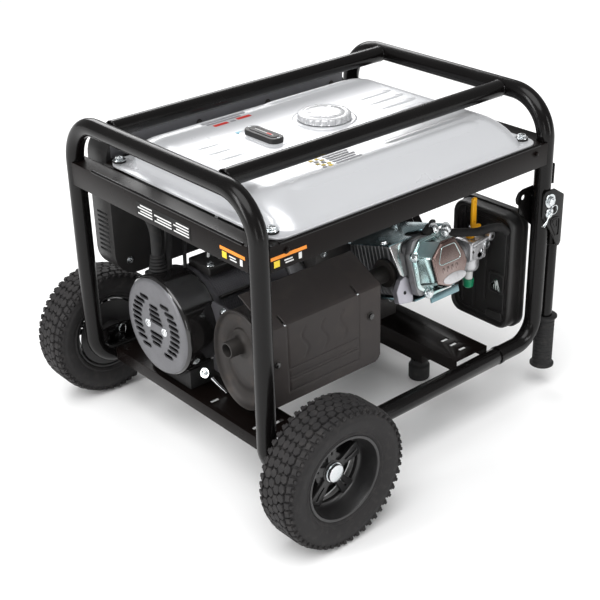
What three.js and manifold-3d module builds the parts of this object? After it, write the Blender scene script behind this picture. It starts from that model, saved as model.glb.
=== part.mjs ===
// Open-frame portable generator on two wheels, in millimetres.
// +X runs from the alternator end to the engine end, +Y from the muffler side to the
// control panel side, +Z up. The origin is on the floor at the middle of the bounding box.
import * as THREE from "three";
import { mergeVertices } from "three/addons/utils/BufferGeometryUtils.js";
import Module from "manifold-3d";

const wasm = await Module();
wasm.setup();

// ---------- driving dimensions ----------
const TUBE_R = 16; // frame tube
const POST_X = 325; // end hoops stand at x = +/-POST_X
const POST_Y = 250; // posts stand at y = +/-POST_Y
const TOP_Z = 584; // centre of the top tubes
const LOW_Z = 112; // centre of the lower tubes
const BEND_R = 76; // tube bends, to the centreline
const BAR_Y = 152; // the two long top bars
const GAP = 0.3; // between pieces that touch

const WHEEL_R = 125;
const WHEEL_X = -259;
const WHEEL_Y = 331; // middle of the tyre
const TYRE_HALF = 39;
const RIM_R = 73;
const AXLE_R = 8;

const RAIL_TOP = 510; // tank cradle
const RAIL_H = 42;
const RAIL_W = 34;
const SHEET = 3.5; // rail thickness
const BACK_RAIL_Y = 196; // outer face of the rail between tank and panel

const CRANK_Y = 74;
const CRANK_Z = 241;
const CYL_X = 120; // middle of the cylinder
const CYL_TILT = THREE.MathUtils.degToRad(16);

const HANDLE_X = 361; // folding handles, hanging beside the posts
const HANDLE_Z = 399; // their pivot bolts, through the posts
const HANDLE_R = 12.5;

// ---------- materials ----------
const paint = (color, roughness, metalness) =>
  new THREE.MeshStandardMaterial({ color, roughness, metalness });
const MAT = {
  frame: paint(0x141416, 0.35, 0.4),
  silver: paint(0xd4d6d9, 0.35, 0.3),
  plastic: paint(0x1b1b1d, 0.5, 0),
  steel: paint(0xc6c8cc, 0.3, 1),
  zinc: paint(0x9fb4b8, 0.3, 1),
  alloy: paint(0xb4b6ba, 0.45, 0.9),
  iron: paint(0x3a3838, 0.65, 0.4),
  rubber: paint(0x18181a, 0.85, 0),
  orange: paint(0xf59a12, 0.5, 0),
  green: paint(0x0f8a52, 0.5, 0),
  face: paint(0x2a2b2e, 0.5, 0),
  red: paint(0xb3201c, 0.5, 0),
  copper: paint(0xb06a3a, 0.5, 0.8),
};

// ---------- geometry helpers ----------
const bare = (geometry) => {
  const g = geometry.clone();
  g.deleteAttribute("normal");
  g.deleteAttribute("uv");
  return mergeVertices(g, 1e-3);
};
const solid = (geometry) => {
  const g = bare(geometry);
  return new wasm.Manifold(
    new wasm.Mesh({
      numProp: 3,
      vertProperties: new Float32Array(g.attributes.position.array),
      triVerts: new Uint32Array(g.index.array),
    }),
  );
};
const surface = (manifold) => {
  const m = manifold.getMesh();
  const g = new THREE.BufferGeometry();
  g.setAttribute("position", new THREE.BufferAttribute(new Float32Array(m.vertProperties), 3));
  g.setIndex(new THREE.BufferAttribute(new Uint32Array(m.triVerts), 1));
  g.computeVertexNormals();
  return g;
};
const join = (...parts) => surface(parts.map(solid).reduce((a, b) => a.add(b)));
const cut = (base, ...tools) => surface(tools.map(solid).reduce((a, b) => a.subtract(b), solid(base)));
const common = (a, b) => surface(solid(a).intersect(solid(b)));

// Box from its lowest to its highest corner.
const box = (x0, y0, z0, x1, y1, z1) =>
  new THREE.BoxGeometry(x1 - x0, y1 - y0, z1 - z0).translate(
    (x0 + x1) / 2,
    (y0 + y1) / 2,
    (z0 + z1) / 2,
  );
// Turns geometry made along Z so that Z points along the named axis.
const TURN = {
  x: (g) => g.rotateY(Math.PI / 2),
  y: (g) => g.rotateX(-Math.PI / 2),
  z: (g) => g,
};
// Rod along an axis, from one end to the other, through the point of the other two coordinates.
const rod = (axis, r, from, to, a, b, sides = 16) => {
  const g = TURN[axis](
    new THREE.CylinderGeometry(r, r, to - from, sides).rotateX(Math.PI / 2),
  );
  const mid = (from + to) / 2;
  if (axis === "x") return g.translate(mid, a, b);
  if (axis === "y") return g.translate(a, mid, b);
  return g.translate(a, b, mid);
};
// Turned piece: profile of [radius, distance along the axis].
const turned = (axis, profile, x, y, z, sides = 24) => {
  const g = new THREE.LatheGeometry(
    profile.map(([r, h]) => new THREE.Vector2(r, h)),
    sides,
  ).rotateX(Math.PI / 2);
  return TURN[axis](g).translate(x, y, z);
};
// Flat plate: outline points in the plane across the axis, thick from one value to the other.
const plate = (axis, outline, from, to, holes = []) => {
  const shape = outline instanceof THREE.Shape ? outline : new THREE.Shape(outline.map(([u, v]) => new THREE.Vector2(u, v)));
  for (const [u, v, r] of holes) shape.holes.push(new THREE.Path().absarc(u, v, r, 0, Math.PI * 2));
  const g = new THREE.ExtrudeGeometry(shape, {
    depth: to - from,
    bevelEnabled: false,
    curveSegments: 6,
  }).translate(0, 0, from);
  if (axis === "x") return g.rotateX(Math.PI / 2).rotateZ(Math.PI / 2); // outline is (y, z)
  if (axis === "y") return g.rotateX(Math.PI / 2).scale(1, -1, 1).rotateZ(0); // outline is (x, z)
  return g; // outline is (x, y)
};
// A scale by -1 turns the faces inside out, so this puts them right.
const righted = (g) => {
  const b = bare(g);
  const i = b.index.array;
  for (let k = 0; k < i.length; k += 3) [i[k + 1], i[k + 2]] = [i[k + 2], i[k + 1]];
  return b;
};
const plateY = (outline, from, to, holes) => righted(plate("y", outline, from, to, holes));
const roundRect = (x0, y0, x1, y1, r) => {
  const s = new THREE.Shape();
  s.moveTo(x0 + r, y0);
  s.lineTo(x1 - r, y0);
  s.absarc(x1 - r, y0 + r, r, -Math.PI / 2, 0);
  s.lineTo(x1, y1 - r);
  s.absarc(x1 - r, y1 - r, r, 0, Math.PI / 2);
  s.lineTo(x0 + r, y1);
  s.absarc(x0 + r, y1 - r, r, Math.PI / 2, Math.PI);
  s.lineTo(x0, y0 + r);
  s.absarc(x0 + r, y0 + r, r, Math.PI, Math.PI * 1.5);
  return s;
};
// A path with one ring at each given point, so that straight runs need no rings between.
class RingPath extends THREE.Curve {
  constructor(points) {
    super();
    this.points = points;
  }
  getPoint(t) {
    const n = this.points.length - 1;
    const i = Math.min(Math.floor(t * n + 1e-9), n - 1);
    return this.points[i].clone().lerp(this.points[i + 1], t * n - i);
  }
  getPointAt(u) {
    return this.getPoint(u);
  }
  getTangentAt(u) {
    const n = this.points.length - 1;
    const i = Math.round(u * n);
    const before = this.points[Math.max(i - 1, 0)];
    const here = this.points[i];
    const after = this.points[Math.min(i + 1, n)];
    const a = here.clone().sub(before).normalize();
    const b = after.clone().sub(here).normalize();
    return a.add(b).normalize();
  }
}
// Corner points to a path whose corners are arcs of the given radius.
const bent = (corners, radius, steps = 4) => {
  const p = corners.map((c) => new THREE.Vector3(...c));
  const out = [p[0]];
  for (let i = 1; i < p.length - 1; i++) {
    const inward = p[i - 1].clone().sub(p[i]).normalize();
    const outward = p[i + 1].clone().sub(p[i]).normalize();
    const half = inward.angleTo(outward) / 2;
    const reach = radius / Math.tan(half);
    const centre = inward.clone().add(outward).normalize().multiplyScalar(radius / Math.sin(half)).add(p[i]);
    const from = inward.multiplyScalar(reach).add(p[i]).sub(centre);
    const to = outward.multiplyScalar(reach).add(p[i]).sub(centre);
    const turn = from.angleTo(to);
    for (let k = 0; k <= steps; k++) {
      const t = k / steps;
      const a = Math.sin((1 - t) * turn) / Math.sin(turn);
      const b = Math.sin(t * turn) / Math.sin(turn);
      out.push(from.clone().multiplyScalar(a).addScaledVector(to, b).add(centre));
    }
  }
  out.push(p[p.length - 1]);
  return out;
};
const tube = (points, r, sides = 12) =>
  new THREE.ExtrudeGeometry(
    new THREE.Shape(
      Array.from({ length: sides }, (_, k) => {
        const a = (2 * Math.PI * k) / sides;
        return new THREE.Vector2(r * Math.cos(a), r * Math.sin(a));
      }),
    ),
    { steps: points.length - 1, extrudePath: new RingPath(points) },
  );

const generator = new THREE.Group();
const add = (name, geometry, material) => {
  const mesh = new THREE.Mesh(geometry, MAT[material]);
  mesh.name = name;
  generator.add(mesh);
};
const SIDES = [
  ["near", -1],
  ["far", 1],
];
const ENDS = [
  ["left", -1],
  ["right", 1],
];

// ---------- frame ----------
const LOW_JOINT_X = 224; // where a hoop's foot plugs into the straight lower tube
const BAR_END = POST_X - TUBE_R - GAP;

const hoop = (s) => {
  const foot = s * LOW_JOINT_X;
  return tube(
    bent(
      [
        [foot, -POST_Y, LOW_Z],
        [s * POST_X, -POST_Y, LOW_Z],
        [s * POST_X, -POST_Y, TOP_Z],
        [s * POST_X, POST_Y, TOP_Z],
        [s * POST_X, POST_Y, LOW_Z],
        [foot, POST_Y, LOW_Z],
      ],
      BEND_R,
    ),
    TUBE_R,
  );
};
for (const [side, s] of SIDES) {
  const end = LOW_JOINT_X - GAP;
  add(`lower_rail_${side}`, rod("x", TUBE_R, -end, end, s * POST_Y, LOW_Z), "frame");
  add(`top_bar_${side}`, rod("x", TUBE_R - 1, -BAR_END, BAR_END, s * BAR_Y, TOP_Z), "frame");
}

// Tank cradle of angle iron, notched round the posts.
const posts = ENDS.flatMap(([, a]) =>
  SIDES.map(([, b]) => rod("z", TUBE_R + 0.6, RAIL_TOP - 90, RAIL_TOP + 90, a * POST_X, b * POST_Y, 24)),
);
const RAIL_FACE_Y = POST_Y + TUBE_R - 2;
const RAIL_FACE_X = POST_X + TUBE_R - 2;
const RAIL_LOW = RAIL_TOP - RAIL_H;
const INNER_X = RAIL_FACE_X - RAIL_W;
add(
  "tank_rail_front",
  cut(
    join(
      box(-POST_X, -RAIL_FACE_Y, RAIL_LOW, POST_X, -RAIL_FACE_Y + SHEET, RAIL_TOP),
      box(-INNER_X + GAP, -RAIL_FACE_Y, RAIL_TOP - SHEET, INNER_X - GAP, -RAIL_FACE_Y + RAIL_W, RAIL_TOP),
    ),
    ...posts,
  ),
  "frame",
);
add(
  "tank_rail_back",
  join(
    box(-INNER_X + GAP, BACK_RAIL_Y - SHEET, RAIL_LOW, INNER_X - GAP, BACK_RAIL_Y, RAIL_TOP),
    box(-INNER_X + GAP, BACK_RAIL_Y - RAIL_W, RAIL_TOP - SHEET, INNER_X - GAP, BACK_RAIL_Y, RAIL_TOP),
  ),
  "frame",
);
for (const [end, s] of ENDS) {
  const face = s * RAIL_FACE_X;
  const span = (x0, x1, z0, z1) => box(Math.min(x0, x1), -POST_Y, z0, Math.max(x0, x1), POST_Y, z1);
  add(
    `tank_rail_${end}`,
    cut(
      join(
        span(face, face - s * SHEET, RAIL_LOW, RAIL_TOP),
        span(face, face - s * RAIL_W, RAIL_TOP - SHEET, RAIL_TOP),
      ),
      ...posts,
    ),
    "frame",
  );
}

// Cross members: inverted channels between the lower tubes, with slotted tops.
const CROSS_TOP = LOW_Z + 18;
const CROSS_H = 24;
const CROSS_T = 3;
const crossMember = (x0, x1, slots) => {
  const half = POST_Y - TUBE_R - GAP;
  const z0 = CROSS_TOP - CROSS_H;
  const shell = cut(
    box(x0, -half, z0, x1, half, CROSS_TOP),
    box(x0 + CROSS_T, -half - 1, z0 - 1, x1 - CROSS_T, half + 1, CROSS_TOP - CROSS_T),
  );
  return cut(shell, ...slots.map(([x, y]) => box(x - 9, y - 4, z0, x + 9, y + 4, CROSS_TOP + 1)));
};
const CROSS_LEFT = [-292, -206];
const CROSS_RIGHT = [132, 216];
const slotRow = (x, ys) => ys.map((y) => [x, y]);
add(
  "cross_member_left",
  crossMember(...CROSS_LEFT, [...slotRow(-270, [-205, -180, -155, -40]), ...slotRow(-232, [-192, -167])]),
  "frame",
);
// Stand under the engine end, with two rubber feet.
const STAND = { x0: 188, x1: 214, half: 96, z0: 44, z1: CROSS_TOP - CROSS_T };
add(
  "cross_member_right",
  join(
    crossMember(...CROSS_RIGHT, slotRow(176, [-208, -186, -164, 190, 212])),
    box(STAND.x0, -STAND.half, STAND.z0, STAND.x1, STAND.half, STAND.z1 + 0.5),
  ),
  "frame",
);
const FOOT_X = 203;
const FOOT_Y = 75;
for (const [side, s] of SIDES) {
  add(
    `rubber_foot_${side}`,
    turned("z", [[0, 0], [19, 0], [21, 4], [21, 30], [17, 33], [17, STAND.z0 - GAP], [0, STAND.z0 - GAP]], FOOT_X, s * FOOT_Y, 0, 20),
    "rubber",
  );
}

// ---------- wheels ----------
const BRACKET_Y = 274;
const BRACKET_T = 5;
const alongSide = (side, from, to) => (side > 0 ? [from, to] : [-to, -from]);
// Box given by distances out from the middle of the object along Y.
const sideBox = (side, x0, x1, from, to, z0, z1) => {
  const [y0, y1] = alongSide(side, from, to);
  return box(x0, y0, z0, x1, y1, z1);
};
// Welded bracket that stands off the lower tube and carries the axle.
const axleBracket = (s) => [
  sideBox(s, WHEEL_X - 30, WHEEL_X + 30, BRACKET_Y, BRACKET_Y + BRACKET_T, 94, 152),
  sideBox(s, WHEEL_X - 30, WHEEL_X - 25, POST_Y + 10, BRACKET_Y + 1, 94, 152),
  sideBox(s, WHEEL_X + 25, WHEEL_X + 30, POST_Y + 10, BRACKET_Y + 1, 94, 152),
];
const axleBores = SIDES.map(([, s]) =>
  rod("y", AXLE_R + GAP, ...alongSide(s, POST_Y + TUBE_R - 1, BRACKET_Y + 10), WHEEL_X, WHEEL_R, 24),
);
add(
  "end_hoop_left",
  cut(join(hoop(-1), ...SIDES.flatMap(([, s]) => axleBracket(s))), ...axleBores),
  "frame",
);
const PIVOT_R = 5;
const PIN_R = 3.6;
const pivotBores = SIDES.map(([, s]) =>
  rod("y", PIVOT_R + GAP, ...alongSide(s, POST_Y - 20, POST_Y + 20), POST_X, HANDLE_Z, 16),
);
add("end_hoop_right", cut(hoop(1), ...pivotBores), "frame");
const AXLE_IN = 266.8;
const HUB_IN = 284;
const HUB_OUT = 333;
for (const [side, s] of SIDES) {
  const alongY = (from, to) => alongSide(s, from, to);
  const axle = (r, from, to, sides) => rod("y", r, ...alongY(from, to), WHEEL_X, WHEEL_R, sides);
  add(
    `axle_${side}`,
    cut(
      join(axle(AXLE_R, AXLE_IN, HUB_OUT + 3, 24), axle(17, HUB_OUT + GAP, HUB_OUT + 10, 24)),
      rod("z", 2.2, WHEEL_R - 20, WHEEL_R + 20, WHEEL_X, s * (AXLE_IN + 3.6), 8),
    ),
    "steel",
  );
  const tyreProfile = [
    [RIM_R + GAP, -28],
    [84, -36],
    [100, -TYRE_HALF],
    [112, -36],
    [121, -29],
    [WHEEL_R, -18],
    [WHEEL_R, 18],
    [121, 29],
    [112, 36],
    [100, TYRE_HALF],
    [84, 36],
    [RIM_R + GAP, 28],
    [RIM_R + GAP, -28],
  ];
  add(`tyre_${side}`, turned("y", tyreProfile, WHEEL_X, s * WHEEL_Y, WHEEL_R, 30), "rubber");
  // Moulded wheel: barrel, web with five pairs of windows, and hub.
  const inward = (y) => s * y - s * WHEEL_Y; // distances along Y from the tyre's middle
  const wheelBody = turned(
    "y",
    [
      [AXLE_R + GAP, inward(HUB_IN)],
      [22, inward(HUB_IN)],
      [22, inward(316)],
      [60, inward(314)],
      [66, inward(302)],
      [RIM_R, inward(300)],
      [RIM_R, inward(362)],
      [67, inward(362)],
      [62, inward(328)],
      [24, inward(330)],
      [22, inward(HUB_OUT)],
      [AXLE_R + GAP, inward(HUB_OUT)],
      [AXLE_R + GAP, inward(HUB_IN)],
    ],
    WHEEL_X,
    s * WHEEL_Y,
    WHEEL_R,
    30,
  );
  const windows = Array.from({ length: 5 }, (_, k) => {
    const a = (2 * Math.PI * (k + 0.25)) / 5;
    const w = rod("y", 12, ...alongY(300, 365), WHEEL_X + 44 * Math.cos(a), WHEEL_R + 44 * Math.sin(a), 6);
    return w;
  });
  const rim = cut(s > 0 ? wheelBody : righted(wheelBody), ...windows);
  add(`wheel_rim_${side}`, rim, "plastic");
}

// ---------- folding handles ----------
// Each arm is two plates astride the post, a web behind them and the handle tube.
const PLATE_T = 3;
const PLATE_IN = TUBE_R + GAP; // from the post's centre to a plate's inner face
const PIN_Z = HANDLE_Z - 24;
const ARM_TOP = HANDLE_Z - 22; // so that the tube passes the post as it swings
const GRIP_TOP = 150;
const GRIP_LOW = 42;
const outerPlate = [
  [-19, 12],
  [-12, 20],
  [12, 20],
  [40, 2],
  [40, -92],
  [36, -98],
  [29, -98],
  [14, -70],
  [-19, -28],
];
const innerPlate = [
  [-49, 6],
  [-47, -4],
  [-40, -9],
  [-40, -22],
  [-36, -28],
  [14, -72],
  [29, -98],
  [36, -98],
  [40, -92],
  [40, 2],
  [12, 20],
  [-30, 20],
  [-43, 16],
];
for (const [side, s] of SIDES) {
  const y = (from, to) => alongSide(s, POST_Y + from, POST_Y + to);
  const placed = (outline) => outline.map(([u, v]) => [POST_X + u, HANDLE_Z + v]);
  const pivotHole = [POST_X, HANDLE_Z, PIVOT_R + GAP];
  const pinHole = [POST_X, PIN_Z, PIN_R + GAP];
  const lockHole = [POST_X - 30, HANDLE_Z + 4, PIN_R + GAP];
  add(
    `handle_arm_${side}`,
    join(
      plateY(placed(outerPlate), ...y(PLATE_IN, PLATE_IN + PLATE_T), [pivotHole, pinHole]),
      plateY(placed(innerPlate), ...y(-PLATE_IN - PLATE_T, -PLATE_IN), [pivotHole, pinHole, lockHole]),
      sideBox(s, POST_X + 36, POST_X + 39.5, POST_Y - PLATE_IN - 1, POST_Y + PLATE_IN + 1, HANDLE_Z - 92, ARM_TOP),
      rod("z", HANDLE_R, GRIP_LOW + 6, ARM_TOP - 2, HANDLE_X, s * POST_Y, 16),
    ),
    "frame",
  );
  const across = (r, from, to, z, sides) => rod("y", r, ...y(from, to), POST_X, z, sides);
  const head = PLATE_IN + PLATE_T + GAP;
  add(
    `handle_pivot_${side}`,
    join(
      across(PIVOT_R, -head - 4, head + 4, HANDLE_Z, 16),
      across(9, head, head + 6, HANDLE_Z, 6),
      across(9, -head - 5, -head, HANDLE_Z, 6),
    ),
    "steel",
  );
  // The lock pin's shank is shown only as deep as the outer plate.
  add(
    `handle_lock_pin_${side}`,
    join(across(PIN_R, PLATE_IN + 0.2, head + 5, PIN_Z, 12), across(10, head, head + 2.5, PIN_Z, 20)),
    "steel",
  );
  add(
    `handle_grip_${side}`,
    cut(
      turned(
        "z",
        [
          [0, GRIP_LOW],
          [23, GRIP_LOW],
          [23, GRIP_LOW + 5],
          [18.5, GRIP_LOW + 9],
          [18.5, GRIP_TOP - 9],
          [23, GRIP_TOP - 5],
          [23, GRIP_TOP],
          [0, GRIP_TOP],
        ],
        HANDLE_X,
        s * POST_Y,
        0,
        20,
      ),
      rod("z", HANDLE_R + GAP, GRIP_LOW + 6 - GAP, GRIP_TOP + 5, HANDLE_X, s * POST_Y, 16),
    ),
    "rubber",
  );
}

// ---------- fuel tank ----------
const TANK_Z = RAIL_TOP + GAP;
const FLANGE = [-300, -246, 300, 190];
const TANK_BODY = { x0: -276, y0: -228, x1: 276, y1: 172 };
const TANK_TOP = 556;
const TANK_ROUND = 34;
const BOLTS = [
  [-284, -230],
  [284, -230],
  [-284, 174],
  [284, 174],
];
// Pressed shell, or the space inside it when shrunk by the sheet's thickness.
const tankForm = (shrink, bottom) => {
  const { x0, y0, x1, y1 } = TANK_BODY;
  const r = TANK_ROUND - shrink;
  const top = TANK_TOP - shrink;
  const inset = TANK_ROUND;
  const puffed = new THREE.ExtrudeGeometry(
    roundRect(x0 + inset, y0 + inset, x1 - inset, y1 - inset, 18),
    {
      depth: 2,
      bevelEnabled: true,
      bevelThickness: r,
      bevelSize: r,
      bevelSegments: 4,
      curveSegments: 3,
    },
  ).translate(0, 0, top - r - 2);
  const dome = common(puffed, box(-400, -400, top - r - 1, 400, 400, 700));
  const skirt = new THREE.ExtrudeGeometry(
    roundRect(x0 + shrink, y0 + shrink, x1 - shrink, y1 - shrink, inset + 18 - shrink),
    { depth: top - r - bottom, bevelEnabled: false, curveSegments: 3 },
  ).translate(0, 0, bottom);
  return solid(dome).add(solid(skirt));
};
const flange = new THREE.ExtrudeGeometry(roundRect(...FLANGE, 8), {
  depth: 2.5,
  bevelEnabled: false,
  curveSegments: 3,
}).translate(0, 0, TANK_Z);
const TANK_WALL = 3;
const NECK = { x: 34, y: 5, r: 30 };
const tankSolid = solid(flange)
  .add(tankForm(0, TANK_Z + 1))
  .add(solid(rod("z", NECK.r, TANK_TOP - 2, TANK_TOP + 5, NECK.x, NECK.y, 20)))
  .subtract(tankForm(TANK_WALL, TANK_Z + TANK_WALL))
  .subtract(solid(rod("z", NECK.r - 4, TANK_TOP - 6, TANK_TOP + 9, NECK.x, NECK.y, 20)));
const boltHoles = BOLTS.map(([x, y]) => solid(rod("z", 5, TANK_Z - 5, TANK_Z + 12, x, y, 8)));
add("fuel_tank", surface(boltHoles.reduce((a, b) => a.subtract(b), tankSolid)), "silver");
add(
  "fuel_cap",
  turned(
    "z",
    [
      [0, TANK_TOP + 5.4],
      [NECK.r + 1, TANK_TOP + 5.4],
      [NECK.r + 1, TANK_TOP + 1],
      [47, TANK_TOP + 1],
      [47, TANK_TOP + 13],
      [43, TANK_TOP + 17],
      [0, TANK_TOP + 18],
    ],
    NECK.x,
    NECK.y,
    0,
    32,
  ),
  "silver",
);
const GAUGE = { x: -99, y: 10 };
add(
  "fuel_gauge",
  new THREE.ExtrudeGeometry(roundRect(GAUGE.x - 14, GAUGE.y - 38, GAUGE.x + 14, GAUGE.y + 38, 9), {
    depth: 7,
    bevelEnabled: false,
    curveSegments: 4,
  }).translate(0, 0, TANK_TOP + GAP),
  "plastic",
);
// ---------- alternator ----------
const COVER = { x0: -305, x1: -258, r: 93 };
const STATOR = { x0: COVER.x1 + GAP, x1: -60, r: 88, bore: 62 };
const BELL = { x0: STATOR.x1 + GAP, x1: -20.3, r: 94 };
const coverProfile = [
  [0, COVER.x0],
  [COVER.r - 14, COVER.x0],
  [COVER.r - 5, COVER.x0 + 4],
  [COVER.r, COVER.x0 + 14],
  [COVER.r, COVER.x1],
  [COVER.r - 4, COVER.x1],
  [COVER.r - 4, COVER.x0 + 14],
  [COVER.r - 16, COVER.x0 + 4],
  [0, COVER.x0 + 4],
];
const coverSlots = [];
for (const y of [-44, 44]) {
  for (let k = -4; k <= 4; k++) {
    const reach = Math.abs(k) > 2 ? 30 : 44;
    coverSlots.push(
      box(COVER.x0 - 2, CRANK_Y + Math.sign(y) * reach - 12, CRANK_Z + k * 14 - 3.5, COVER.x0 + 8, CRANK_Y + Math.sign(y) * reach + 12, CRANK_Z + k * 14 + 3.5),
    );
  }
}
add(
  "alternator_cover",
  cut(turned("x", coverProfile, 0, CRANK_Y, CRANK_Z, 30), ...coverSlots),
  "plastic",
);
add(
  "alternator_stator",
  turned(
    "x",
    [
      [STATOR.bore, STATOR.x0],
      [STATOR.r, STATOR.x0],
      [STATOR.r, STATOR.x1],
      [STATOR.bore, STATOR.x1],
      [STATOR.bore, STATOR.x0],
    ],
    0,
    CRANK_Y,
    CRANK_Z,
    36,
  ),
  "iron",
);
add(
  "alternator_bell",
  turned(
    "x",
    [
      [40, BELL.x0],
      [BELL.r, BELL.x0],
      [BELL.r, BELL.x0 + 10],
      [BELL.r - 8, BELL.x1],
      [40, BELL.x1],
      [40, BELL.x0],
    ],
    0,
    CRANK_Y,
    CRANK_Z,
    30,
  ),
  "alloy",
);
// Rotor, crankshaft and flywheel turn as one.
const FLYWHEEL = { x0: 206, x1: 232, r: 84 };
add(
  "rotor_and_crankshaft",
  turned(
    "x",
    [
      [0, -288],
      [10, -288],
      [10, -250],
      [14, -250],
      [14, -236],
      [56, -236],
      [56, -96],
      [18, -96],
      [18, FLYWHEEL.x0],
      [FLYWHEEL.r, FLYWHEEL.x0],
      [FLYWHEEL.r, FLYWHEEL.x1],
      [20, FLYWHEEL.x1],
      [20, FLYWHEEL.x1 + 8],
      [0, FLYWHEEL.x1 + 8],
    ],
    0,
    CRANK_Y,
    CRANK_Z,
    28,
  ),
  "copper",
);
// Saddle between alternator and cross member.
add(
  "alternator_mount",
  cut(
    box(-280, CRANK_Y - 60, CROSS_TOP + GAP, -220, CRANK_Y + 60, CRANK_Z - 50),
    rod("x", COVER.r + 1, COVER.x0, STATOR.x0 + 1, CRANK_Y, CRANK_Z, 36),
    rod("x", STATOR.r + 0.7, -290, -200, CRANK_Y, CRANK_Z, 36),
  ),
  "rubber",
);

// ---------- engine ----------
const BLOCK = { x0: -20, x1: 190, y0: -26, y1: 176, z0: 146, z1: 342 };
const SHAFT_BORE = 20;
// Moves geometry made about the crank axis, with +Z along the cylinder, into place.
const alongCylinder = (g) =>
  g.rotateX(Math.PI / 2 - CYL_TILT).translate(0, CRANK_Y, CRANK_Z);
const CYL_HALF = 54;
const cylinderHalf = (s0, s1, half) => alongCylinder(box(CYL_X - half, -half, s0, CYL_X + half, half, s1));
add(
  "engine_block",
  cut(
    join(
      box(BLOCK.x0, BLOCK.y0, BLOCK.z0, BLOCK.x1, BLOCK.y1, BLOCK.z1),
      box(CROSS_RIGHT[0] + 4, BLOCK.y0, CROSS_TOP + GAP, BLOCK.x1 - 4, BLOCK.y1, BLOCK.z0 + 1),
    ),
    rod("x", SHAFT_BORE, BLOCK.x0 - 5, BLOCK.x1 + 5, CRANK_Y, CRANK_Z, 20),
    cylinderHalf(96, 300, CYL_HALF + GAP),
  ),
  "alloy",
);
// Finned barrel and head.
const FINS = 6;
const BARREL = { s0: 97, s1: 212 };
const HEAD = { s0: BARREL.s1 - 1, s1: 268, half: CYL_HALF };
const finGaps = Array.from({ length: FINS }, (_, k) => {
  const s = BARREL.s0 + 30 + k * 13;
  return alongCylinder(
    new THREE.BoxGeometry(CYL_HALF * 2 + 4, CYL_HALF * 2 + 4, 7)
      .translate(CYL_X, 0, s),
  );
});
const barrelCore = alongCylinder(
  new THREE.CylinderGeometry(42, 42, BARREL.s1 - BARREL.s0, 16).rotateX(Math.PI / 2).translate(CYL_X, 0, (BARREL.s0 + BARREL.s1) / 2),
);
add(
  "cylinder_and_head",
  join(
    cut(cylinderHalf(BARREL.s0, BARREL.s1, CYL_HALF), ...finGaps),
    barrelCore,
    cylinderHalf(HEAD.s0, HEAD.s1, HEAD.half),
  ),
  "alloy",
);
const coverOutline = (k) =>
  new THREE.Shape(
    [
      [-46, -30],
      [-18, -50],
      [30, -46],
      [48, -18],
      [48, 24],
      [26, 46],
      [-26, 46],
      [-46, 24],
    ].map(([u, v]) => new THREE.Vector2(u * k, v * k)),
  );
const valveCover = join(
  new THREE.ExtrudeGeometry(coverOutline(1.1), { depth: 8, bevelEnabled: false }),
  new THREE.ExtrudeGeometry(coverOutline(0.8), {
    depth: 22,
    bevelEnabled: true,
    bevelThickness: 8,
    bevelSize: 7,
    bevelSegments: 2,
  }).translate(0, 0, 8),
);
add(
  "valve_cover",
  alongCylinder(valveCover.translate(CYL_X, 0, HEAD.s1 + GAP)),
  "steel",
);
// Sheet shroud over the cylinder, folded down on the muffler side.
const SHROUD_T = 2;
const shroudTop = CYL_HALF + GAP;
add(
  "cylinder_shroud",
  join(
    alongCylinder(box(34, shroudTop, 128, CYL_X + CYL_HALF, shroudTop + SHROUD_T, HEAD.s1 - 12)),
    alongCylinder(box(34, -6, HEAD.s1 - 14, CYL_X - 56, shroudTop + SHROUD_T, HEAD.s1 - 12)),
  ),
  "zinc",
);
// Blower housing and recoil starter.
const BLOWER = { x0: BLOCK.x1 + GAP, x1: 250, r: 108 };
const blowerShell = turned(
  "x",
  [
    [SHAFT_BORE + 4, BLOWER.x0],
    [BLOWER.r, BLOWER.x0],
    [BLOWER.r, BLOWER.x1 - 8],
    [BLOWER.r - 8, BLOWER.x1],
    [62, BLOWER.x1],
    [62, BLOWER.x1 - 6],
    [BLOWER.r - 10, BLOWER.x1 - 8],
    [BLOWER.r - 10, BLOWER.x0 + 5],
    [SHAFT_BORE + 4, BLOWER.x0 + 5],
    [SHAFT_BORE + 4, BLOWER.x0],
  ],
  0,
  CRANK_Y,
  CRANK_Z,
  32,
);
add("blower_housing", cut(blowerShell, alongCylinder(box(BLOWER.x0 - 1, -200, 104, 400, 200, 400))), "plastic");
const RECOIL = { x0: BLOWER.x1 + GAP, x1: 298, r: 82 };
const recoilSlots = Array.from({ length: 8 }, (_, k) => {
  const a = (2 * Math.PI * (k + 0.5)) / 8;
  return rod("x", 8, RECOIL.x1 - 12, RECOIL.x1 + 2, CRANK_Y + 56 * Math.cos(a), CRANK_Z + 56 * Math.sin(a), 8);
});
// The grip rests in front of the recoil housing, on the rope guide moulded above it.
const GRIP = { y: CRANK_Y + 30, z: CRANK_Z + 100 };
const recoilBody = turned(
  "x",
  [
    [64, RECOIL.x0],
    [RECOIL.r, RECOIL.x0],
    [RECOIL.r - 4, RECOIL.x1 - 10],
    [RECOIL.r - 14, RECOIL.x1],
    [0, RECOIL.x1],
    [0, RECOIL.x1 - 5],
    [RECOIL.r - 18, RECOIL.x1 - 5],
    [64, RECOIL.x0 + 20],
    [64, RECOIL.x0],
  ],
  0,
  CRANK_Y,
  CRANK_Z,
  32,
);
add(
  "recoil_starter",
  cut(
    join(
      recoilBody,
      box(RECOIL.x0 + 4, GRIP.y - 12, CRANK_Z + 68, RECOIL.x0 + 30, GRIP.y + 12, GRIP.z + 12),
      rod("x", 8, RECOIL.x0 + 6, RECOIL.x0 + 36, GRIP.y, GRIP.z, 12),
    ),
    ...recoilSlots,
  ),
  "plastic",
);
add(
  "starter_grip",
  turned(
    "y",
    [[0, -36], [6, -36], [8, -30], [7, 0], [8, 30], [6, 36], [0, 36]],
    RECOIL.x0 + 46,
    GRIP.y,
    GRIP.z,
    12,
  ),
  "rubber",
);

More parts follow.
